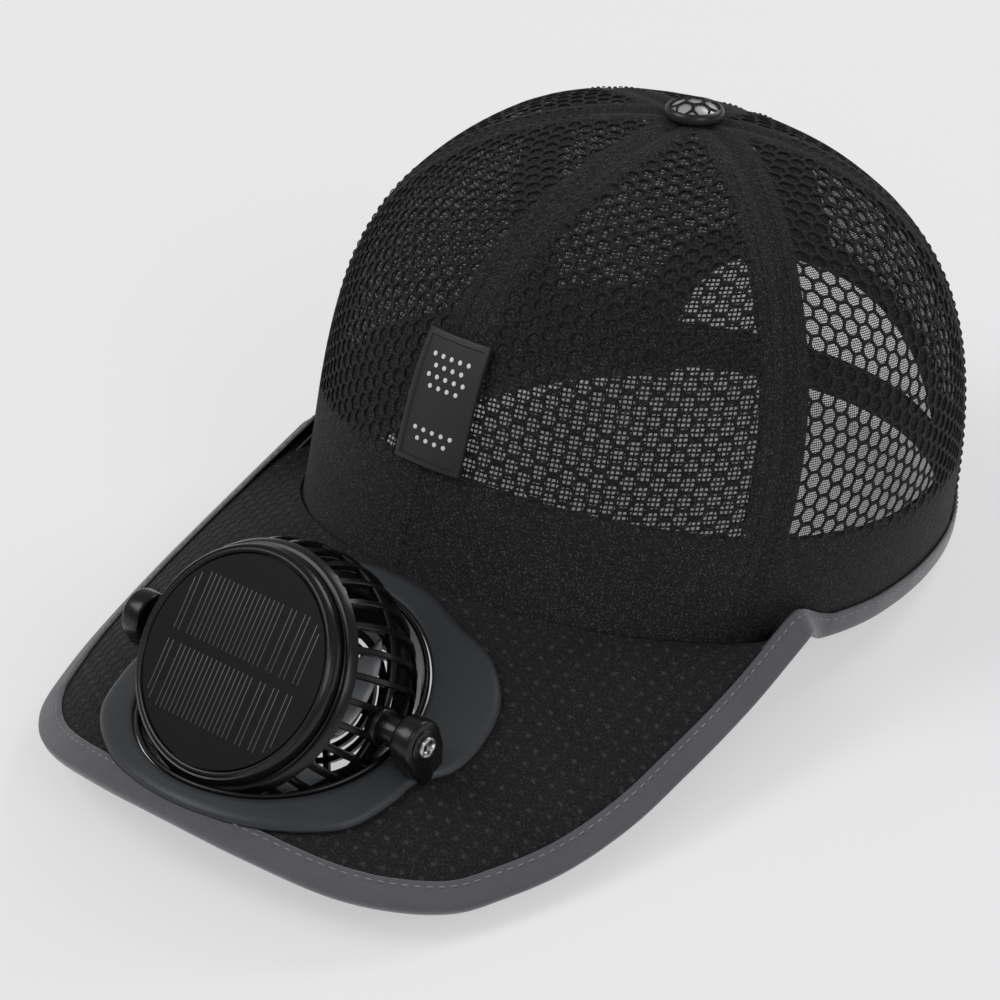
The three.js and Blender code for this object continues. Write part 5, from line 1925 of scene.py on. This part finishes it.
@dataclass(frozen=True)
class FanBase:
    """Plate on the bill, two ears and two pivot screws."""

    half_width: float = 51.5
    front_reach: float = 43.5
    back_reach: float = 45.5
    hole_radius: float = 37.5
    forward: float = 41.0
    seat: float = 0.3
    wall: float = 2.0
    ear_inner: float = 42.6
    ear_wall: float = 6.0
    ear_width: float = 13.0
    lift: float = 1.0
    screw_head: float = 2.8
    outline: tuple[tuple[float, float], ...] = (
        (0, 1), (0.44, 0.9), (0.79, 0.6), (0.88, 0.3), (0.9, 0.1), (0.985, -0.08), (1, -0.28),
        (0.93, -0.59), (0.74, -0.8), (0.5, -0.88), (0.24, -0.98), (0, -1),
    )

    def plate(self) -> None:
        """Plate bent to the bill, with a rounded edge and a soft step round the hole."""
        half = np.array(self.outline)
        line = smooth_line(np.vstack([half, half[1:-1][::-1] * (-1, 1)]), True, 10)[:-1]
        reach = np.where(line[:, 1] > 0, self.front_reach, self.back_reach)
        outer = np.column_stack([line[:, 0] * self.half_width, line[:, 1] * reach])
        inner = outer / np.linalg.norm(outer, axis=1, keepdims=True) * self.hole_radius
        low, high = self.seat, self.seat + self.wall
        section = [
            (0.0, 0.35, high - 0.35), (0.0, 0.8, high), (0.0, 2.0, high), (0.5, 0.0, high), (1.0, -2.6, high),
            (1.0, -1.7, high - 0.08), (1.0, -0.8, high - 0.35), (1.0, -0.2, high - 0.95), (1.0, 0.0, low + 0.45),
            (1.0, -0.35, low), (0.5, 0.0, low), (0.0, 0.3, low),
        ]
        share, shift, height = np.array(section).T
        span = outer - inner
        length = np.linalg.norm(span, axis=1)[:, None]
        distance = np.clip(share * length + shift, 0, length) / length
        flat = inner[:, None] + span[:, None] * distance[..., None] + (0, self.forward)
        hits, normals = BILL_TOP.under(flat.reshape(-1, 2))
        stations = hits + normals * np.tile(height, len(outer))[:, None]
        made = swept("fan_plate", stations.reshape(*flat.shape[:2], 3), True, BILL)
        WARDROBE.dress(made, "slate", stands_for=["fan_base"])

    def socket(self) -> None:
        """Glossy lip in the plate's hole that follows the head's ball down through the bill, running on below it as a
        dark cup put where there is only shade under the bill.
        """
        turn = np.linspace(0, TAU, 120, endpoint=False)
        # The rows that don't follow the bill (last value 0) hang below it as a dark cup: a stand-in for the shade
        # under the bill, hiding the bright floor.
        profile = [
            (37.7, 1.6, 1), (37.45, 2.3, 1), (36.9, 2.45, 1), (36.45, 2.0, 1), (36.2, 0.9, 1),
            (35.9, -0.8, 1), (34.6, -9.0, 0), (33.4, -12.2, 0), (31.0, -16.5, 0), (31.8, -17.0, 0),
            (35.4, -9.4, 0), (37.0, -1.3, 1), (37.6, 0.9, 1),
        ]
        radius, height, follows = np.array(profile).T
        flat = np.stack([np.outer(np.cos(turn), radius), np.outer(np.sin(turn), radius) + self.forward], axis=-1)
        hits, _ = BILL_TOP.under(flat.reshape(-1, 2))
        hits[:, 2] = hits[:, 2] * np.tile(follows, len(turn)) + np.tile(height, len(turn))
        made = swept("fan_socket_lip_shade_cup", hits.reshape(*flat.shape[:2], 3), True, BILL)
        WARDROBE.dress(made, "gloss")

    def bar(
        self, side: Side, radius: float, ends: tuple[float, float], round_off: float, sides: int
    ) -> bpy.types.Object:
        """Round bar on the pivot's line, on one side.

        Args:
            side: the side.
            radius: its radius.
            ends: how far from the middle it starts and stops.
            round_off: radius of its end edges.
            sides: faces round it.

        Returns:
            The bar, in mm.
        """
        near, far = (side.value * end for end in ends)
        return rod("bar", radius, (near, far), "X", round_off, sides, (0, -self.forward, self.lift))

    def ears(self) -> None:
        """Glossy blocks that carry the pivot, with a chamfered face."""
        half, outer = self.ear_width / 2, self.ear_inner + self.ear_wall
        top = [(half * math.cos(t), half * math.sin(t)) for t in np.linspace(math.pi, 0, 17)]
        foot = [(-half * 0.55, -11.5), (-half * 0.95, -5.0)]
        profile = foot + top + [(-y, z) for y, z in reversed(foot)]
        made_ears = []
        for side in Side:
            points = [
                (side.value * x, -self.forward + y, self.lift + z)
                for x in (self.ear_inner, outer)
                for y, z in profile
            ]
            faces = skin_faces(2, len(profile), False)
            ear = outward(new_object(f"ear_{side.name.lower()}", np.array(points), faces))
            made_ears.append(rounded(ear, 0.9, 3, 40.0))
            made_ears.append(self.bar(side, 4.4, (outer - 0.6, outer + 0.45), 0.25, 48))
        WARDROBE.dress(placed(joined("fan_ears", made_ears), BILL), "gloss")

    def screws(self) -> None:
        """Round pivot screws with a crossed recess."""
        start = self.ear_inner + self.ear_wall + 0.3
        for side in Side:
            head = self.bar(side, self.screw_head, (start, start + 1.2), 0.35, 40)
            for size in ((1.6, 3.5, 0.9), (1.6, 0.9, 3.5)):
                centre = (side.value * (start + 1.3), -self.forward, self.lift)
                cut_by(head, block("recess", size, centre, 0.02))
            shank = self.bar(side, 1.4, (38.6, start + 0.3), 0.2, 24)
            name = f"pivot_screw_{side.name.lower()}"
            made = placed(joined(f"{name}_steel", [head, shank]), BILL)
            WARDROBE.dress(made, "steel", stands_for=[name])
    def build(self) -> None:
        """Builds the fan's base."""
        self.plate()
        self.socket()
        self.ears()
        self.screws()


@dataclass(frozen=True)
class FanHead:
    """Cage, bezel, solar face and motor, about the head's own pivot."""

    radius: float = 35.0
    wall: float = 2.0
    rib_count: int = 32
    rib_width: float = 1.7
    equator: float = 1.7
    collar_low: float = 12.7
    collar_high: float = 15.3
    disc_radius: float = 29.98
    disc_low: float = 15.6
    disc_high: float = 20.0
    outlet_radius: float = 22.0
    outlet_depth: float = 22.4
    line_width: float = 0.24
    line_length: float = 16.5
    line_gap: float = 2.8

    def sphere(self, height: float, inset: float = 0.0) -> float:
        """Radius of the cage's sphere at a height."""
        return math.sqrt(self.radius**2 - height**2) - inset

    def cage(self) -> None:
        """Open cage: bowl, equator band, curved ribs, collar, grille and pivot bosses."""
        r, e = self.radius, self.equator
        parts = [
            lathe("bowl", [
                *[(self.sphere(-z, 1.5), -z) for z in (5.5, 8.0, 11.0, 14.0, 17.0, 20.0)],
                (self.sphere(-21.2), -21.2), (self.sphere(-22.0) - 0.4, -22.6), (21.0, -22.6), (20.6, -21.6),
                *[(self.sphere(-z, 2.6), -z) for z in (20.5, 17.0, 14.0, 11.0, 8.0, 5.5)],
            ], 128),
            lathe("equator", [
                (r - 1.9, -e + 0.5), (r - 0.7, -e + 0.5), (r - 0.4, -e + 0.9), (r - 0.4, e - 0.9),
                (r - 0.7, e - 0.5), (r - 1.9, e - 0.5),
            ], 128),
            lathe("collar", [
                (self.sphere(12.7, 2), 12.7), (self.sphere(12.7) - 0.3, 12.7), (self.sphere(13.0), 13.1),
                (self.sphere(15.0), 14.9), (self.sphere(15.3) - 0.35, 15.3), (30.3, 15.4), (30.1, 15.66),
                (28.6, 15.66), (28.4, 13.4),
            ], 128),
        ]
        parts += self.ribs()
        parts += self.grille()
        for side in Side:
            parts.append(rod("boss", 4.0, (side.value * 33.2, side.value * 42.2), "X", 0.4, 40))
            parts.append(rod("boss_root", 5.0, (side.value * 33.0, side.value * 36.2), "X", 0.8, 40))
        made = placed(joined("cage_plastic", parts), HEAD)
        WARDROBE.dress(made, "gloss", Body.HEAD, ["fan_cage"])
    def ribs(self) -> list[bpy.types.Object]:
        """Ribs between the equator and the collar, one bent bar copied round.

        Returns:
            The ribs.
        """
        low, high = math.asin(-21.4 / self.radius), math.asin(13.1 / self.radius)
        half, edge = self.rib_width / 2, 0.3
        corners = [(half - edge, 0), (half, -edge), (half, edge - self.wall), (half - edge, -self.wall)]
        section = np.array(corners + [(-a, b) for a, b in reversed(corners)])
        turn, reach = np.linspace(low, high, 26)[:, None], self.radius + section[:, 1]
        rib = [reach * np.cos(turn), section[:, 0] + 0 * turn, reach * np.sin(turn)]
        bar = smoothed(swept("rib", np.stack(rib, axis=-1) / MM, False, Place(np.eye(3), np.zeros(3))))
        turns = [Matrix.Rotation(TAU * (k + 0.5) / self.rib_count, 4, "Z") for k in range(self.rib_count)]
        made = [copied(bar, turn) for turn in turns]
        bpy.data.objects.remove(bar)
        return made

    def grille(self) -> list[bpy.types.Object]:
        """Outlet grille: hub, three rings and spokes; the rings beyond the grille's own one are dark stand-ins for
        the shade under the bill.

        Returns:
            Its parts.
        """
        low, high = -self.outlet_depth, -self.outlet_depth + 1.6
        made = [lathe("hub", [
            (0, low), (8.2, low), (8.6, low + 0.4), (8.2, high), (7.4, -12.0), (0, -12.0),
        ], 64)]
        # Three rings where the grille has one: the extra rings block the bright floor seen through the outlet,
        # standing in for the shade under the bill.
        for r in (11.6, 14.6, 17.6):
            made.append(lathe("ring", [
                (r - 0.8, low + 0.2), (r - 0.6, low), (r + 0.6, low), (r + 0.8, low + 0.2), (r + 0.8, high),
                (r - 0.8, high),
            ], 72))
        bar = block("spoke", (13.4, 1.6, 1.6), (14.6, 0, low + 0.8), 0.25)
        made += [copied(bar, Matrix.Rotation(TAU * k / 6, 4, "Z")) for k in range(6)]
        bpy.data.objects.remove(bar)
        return made

    def bezel(self) -> None:
        """Bezel with a rolled outer rim, a groove and an inner rim."""
        r, low, high = self.disc_radius, self.disc_low, self.disc_high
        made = lathe("bezel_ring", [
            (0, low), (r - 1.2, low), (r - 0.35, low + 0.35), (r, low + 1.1), (r, high - 1.9), (r - 0.18, high - 1.1),
            (r - 0.62, high - 0.55), (r - 1.05, high - 0.62), (r - 1.3, high - 0.4), (r - 1.6, high - 0.08),
            (r - 2.0, high), (r - 2.35, high - 0.12), (r - 2.6, high - 0.5), (r - 2.62, high - 1.4), (0, high - 1.4),
        ], 160)
        WARDROBE.dress(placed(made, HEAD), "gloss", Body.HEAD, ["solar_bezel"])

    def solar_face(self) -> None:
        """Solar disc with thin silver contact lines."""
        top, low = self.disc_high - 0.3, self.disc_high - 1.1
        r = self.disc_radius - 2.9
        disc = lathe("solar_disc", [
            (0, low), (r - 0.1, low), (r, low + 0.1), (r, top - 0.12), (r - 0.12, top), (0, top),
        ], 128)
        WARDROBE.dress(placed(disc, HEAD), "solar", Body.HEAD, ["solar_panel"])
        starts = [4.3 + 1.5 * k for k in range(17)]
        starts += [start + step for start in (31.2, 35.6, 40.0) for step in (0.0, 1.5)]
        lines = []
        for row in (1, -1):
            near = self.line_gap / 2
            for x in (x - 20.7 for x in [0.0, 1.5, *starts]):
                reach = math.sqrt(max((r - 1.5) ** 2 - x**2, 0.0))
                far = min(near + self.line_length, reach)
                if far - near >= 2:
                    size = (self.line_width, far - near, 0.08)
                    lines.append(block("line", size, (x, row * (near + far) / 2, top + 0.02), 0.02))
        strips = placed(joined("solar_lines", lines), HEAD)
        WARDROBE.dress(strips, "contact", Body.HEAD)

    def motor(self) -> None:
        """Motor can with its shaft."""
        can = lathe("motor_can", [
            (0, -12.1), (6.6, -12.1), (7, -11.7), (7, -3.8), (6.4, -3.1), (2.6, -3.1), (2.6, -2.95), (0, -2.95),
        ], 64)
        made = joined("motor_steel", [can, rod("shaft", 1.2, (-7.6, 4.1), "Z", 0.2, 24)])
        WARDROBE.dress(placed(made, HEAD), "steel", Body.HEAD, ["fan_motor"])
    def build(self) -> None:
        """Builds the fan head."""
        self.cage()
        self.bezel()
        self.solar_face()
        self.motor()


@dataclass(frozen=True)
class Impeller:
    """Hub and five swept blades."""

    start: float = -2.7
    hub_radius: float = 9.0
    blades: int = 5
    blade_radius: float = 30.0
    wall: float = 1.3
    depth: float = 9.0
    camber: float = 0.8
    spreads: tuple[float, float] = (58.0, 50.0)
    sweep: float = 14.0

    def blade_point(self, across: np.ndarray, along: np.ndarray, offset: np.ndarray) -> np.ndarray:
        """Point of a blade.

        Args:
            across: 0 at the hub, 1 at the tip.
            along: 0 at the upper edge, 1 at the lower edge.
            offset: height over the lower face.

        Returns:
            Points in the impeller's frame.
        """
        radius = self.hub_radius - self.wall + (self.blade_radius - self.hub_radius + self.wall) * across
        spread = np.radians(self.spreads[0] + (self.spreads[1] - self.spreads[0]) * across)
        turn = spread * (along - 0.5) + math.radians(self.sweep) * across**2
        height = self.depth * (1 - along) - self.camber * np.sin(math.pi * along)
        return np.stack([radius * np.cos(turn), radius * np.sin(turn), height + offset], axis=-1)

    def build(self) -> None:
        """Builds the impeller."""
        hub = lathe("hub", [
            (1.6, 0), (8.6, 0), (9, 0.4), (9, 8.0), (8.7, 8.7), (8.0, 9.0), (3.0, 9.0), (2.4, 8.6),
            (0.001, 8.6), (0.001, 7.4), (1.6, 7.4),
        ], 64)
        across, along = np.meshgrid(np.linspace(0, 1, 14), np.linspace(0, 1, 16), indexing="ij")
        edge = np.minimum(1, np.minimum(along, 1 - along) * 6) * np.minimum(1, (1 - across) * 12 + 0.35)
        half = self.wall / 2 * (0.35 + 0.65 * np.clip(edge, 0, 1))
        layers = [self.blade_point(across, along, self.wall / 2 + side * half) for side in (1, -1)]
        blade = outward(new_object("blade", np.concatenate(layers).reshape(-1, 3), slab_faces(14, 16)))
        turns = [Matrix.Rotation(TAU * k / self.blades, 4, "Z") for k in range(self.blades)]
        made = joined("impeller_plastic", [hub, *(copied(blade, turn) for turn in turns)])
        bpy.data.objects.remove(blade)
        moved(made, lambda p: p + (0, 0, self.start))
        WARDROBE.dress(placed(made, HEAD), "blade", Body.IMPELLER, ["impeller"])

# Studio


@dataclass(frozen=True)
class Studio:
    """Pale floor, soft lights and the camera."""

    lens: float = 135.0
    sensor: float = 36.0
    distance: float = 1014.75
    aim_height: float = 50.0
    right: tuple[float, float, float] = (0.7857, 0.6159, 0.0584)
    up: tuple[float, float, float] = (-0.2987, 0.2950, 0.9076)
    back: tuple[float, float, float] = (0.5417, -0.7305, 0.4158)
    aim_right: float = 0.1394
    aim_up: float = 0.1472
    focal: float = 3.75
    floor_glow: float = 0.5
    world_level: float = 0.3
    lights: tuple[tuple[str, tuple[float, float, float], float, float], ...] = (
        ("key_light", (-0.9, -0.9, 1.5), 0.9, 11.0),
        ("side_light", (1.5, -0.5, 1.1), 0.8, 6.0),
        ("back_light", (0.2, 1.5, 1.2), 0.9, 9.0),
    )

    def camera(self) -> None:
        """Sets the camera at the photograph's angle."""
        r, u, b = (np.array(v) for v in (self.right, self.up, self.back))
        place = np.array([0, 0, self.aim_height]) + b * self.distance
        ahead = unit(-self.focal * b - self.aim_right * r - self.aim_up * u)
        right = unit(np.cross(ahead, u))
        up = np.cross(right, ahead)
        full = np.eye(4)
        full[:3, :3] = np.stack([HEM.turn @ right, HEM.turn @ up, HEM.turn @ -ahead], axis=1)
        full[:3, 3] = HEM.world(place)
        data = bpy.data.cameras.new("camera")
        data.lens, data.sensor_width = self.lens, self.sensor
        data.clip_start, data.clip_end = 0.05, 50.0
        camera = linked("camera", data)
        camera.matrix_world = Matrix(full.tolist())
        bpy.context.scene.camera = camera

    def floor(self) -> None:
        """Pale floor with a faint mottle."""
        bpy.ops.object.select_all(action="DESELECT")
        bpy.ops.mesh.primitive_plane_add(size=14, location=(0, 0, -0.0002))
        floor = bpy.context.object
        floor.name = "studio_floor"
        made, board, shader, place = material_board("studio_floor")
        board.fill(shader, {
            "Base Color": board.mix(board.noise(place, 3.0), grey(0.42), grey(0.43)), "Roughness": 0.9,
            "Specular IOR Level": 0.0, "Emission Color": grey(1.0), "Emission Strength": self.floor_glow,
        })
        floor.data.materials.append(made)

    def light(self) -> None:
        """Sets a soft world and the soft boxes."""
        world = bpy.data.worlds.new("studio")
        bpy.context.scene.world = world
        world.use_nodes = True
        sky = world.node_tree.nodes["Background"]
        sky.inputs["Color"].default_value = grey(1.0)
        sky.inputs["Strength"].default_value = self.world_level
        for name, place, size, power in self.lights:
            data = bpy.data.lights.new(name, "AREA")
            data.size, data.energy = size, power
            lamp = linked(name, data)
            lamp.location = place
            aim = Vector((0, -0.02, 0.05)) - Vector(place)
            lamp.rotation_euler = aim.to_track_quat("-Z", "Y").to_euler()
        bpy.context.scene.view_settings.view_transform = "Standard"

    def build(self) -> None:
        """Builds the studio."""
        self.floor()
        self.light()
        self.camera()


def main() -> None:
    """Builds every sub-assembly in order."""
    logging.basicConfig(level=logging.INFO, format="%(name)s %(message)s")
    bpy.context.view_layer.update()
    for assembly in (
        CrownPanels(), CrownTapes(), CrownButton(), FrontLabel(), BillPieces(),
        FanBase(), FanHead(), Impeller(), Studio(),
    ):
        assembly.build()
        LOG.info("%s built", type(assembly).__name__)
    bpy.ops.object.select_all(action="DESELECT")


if __name__ == "__main__":
    main()
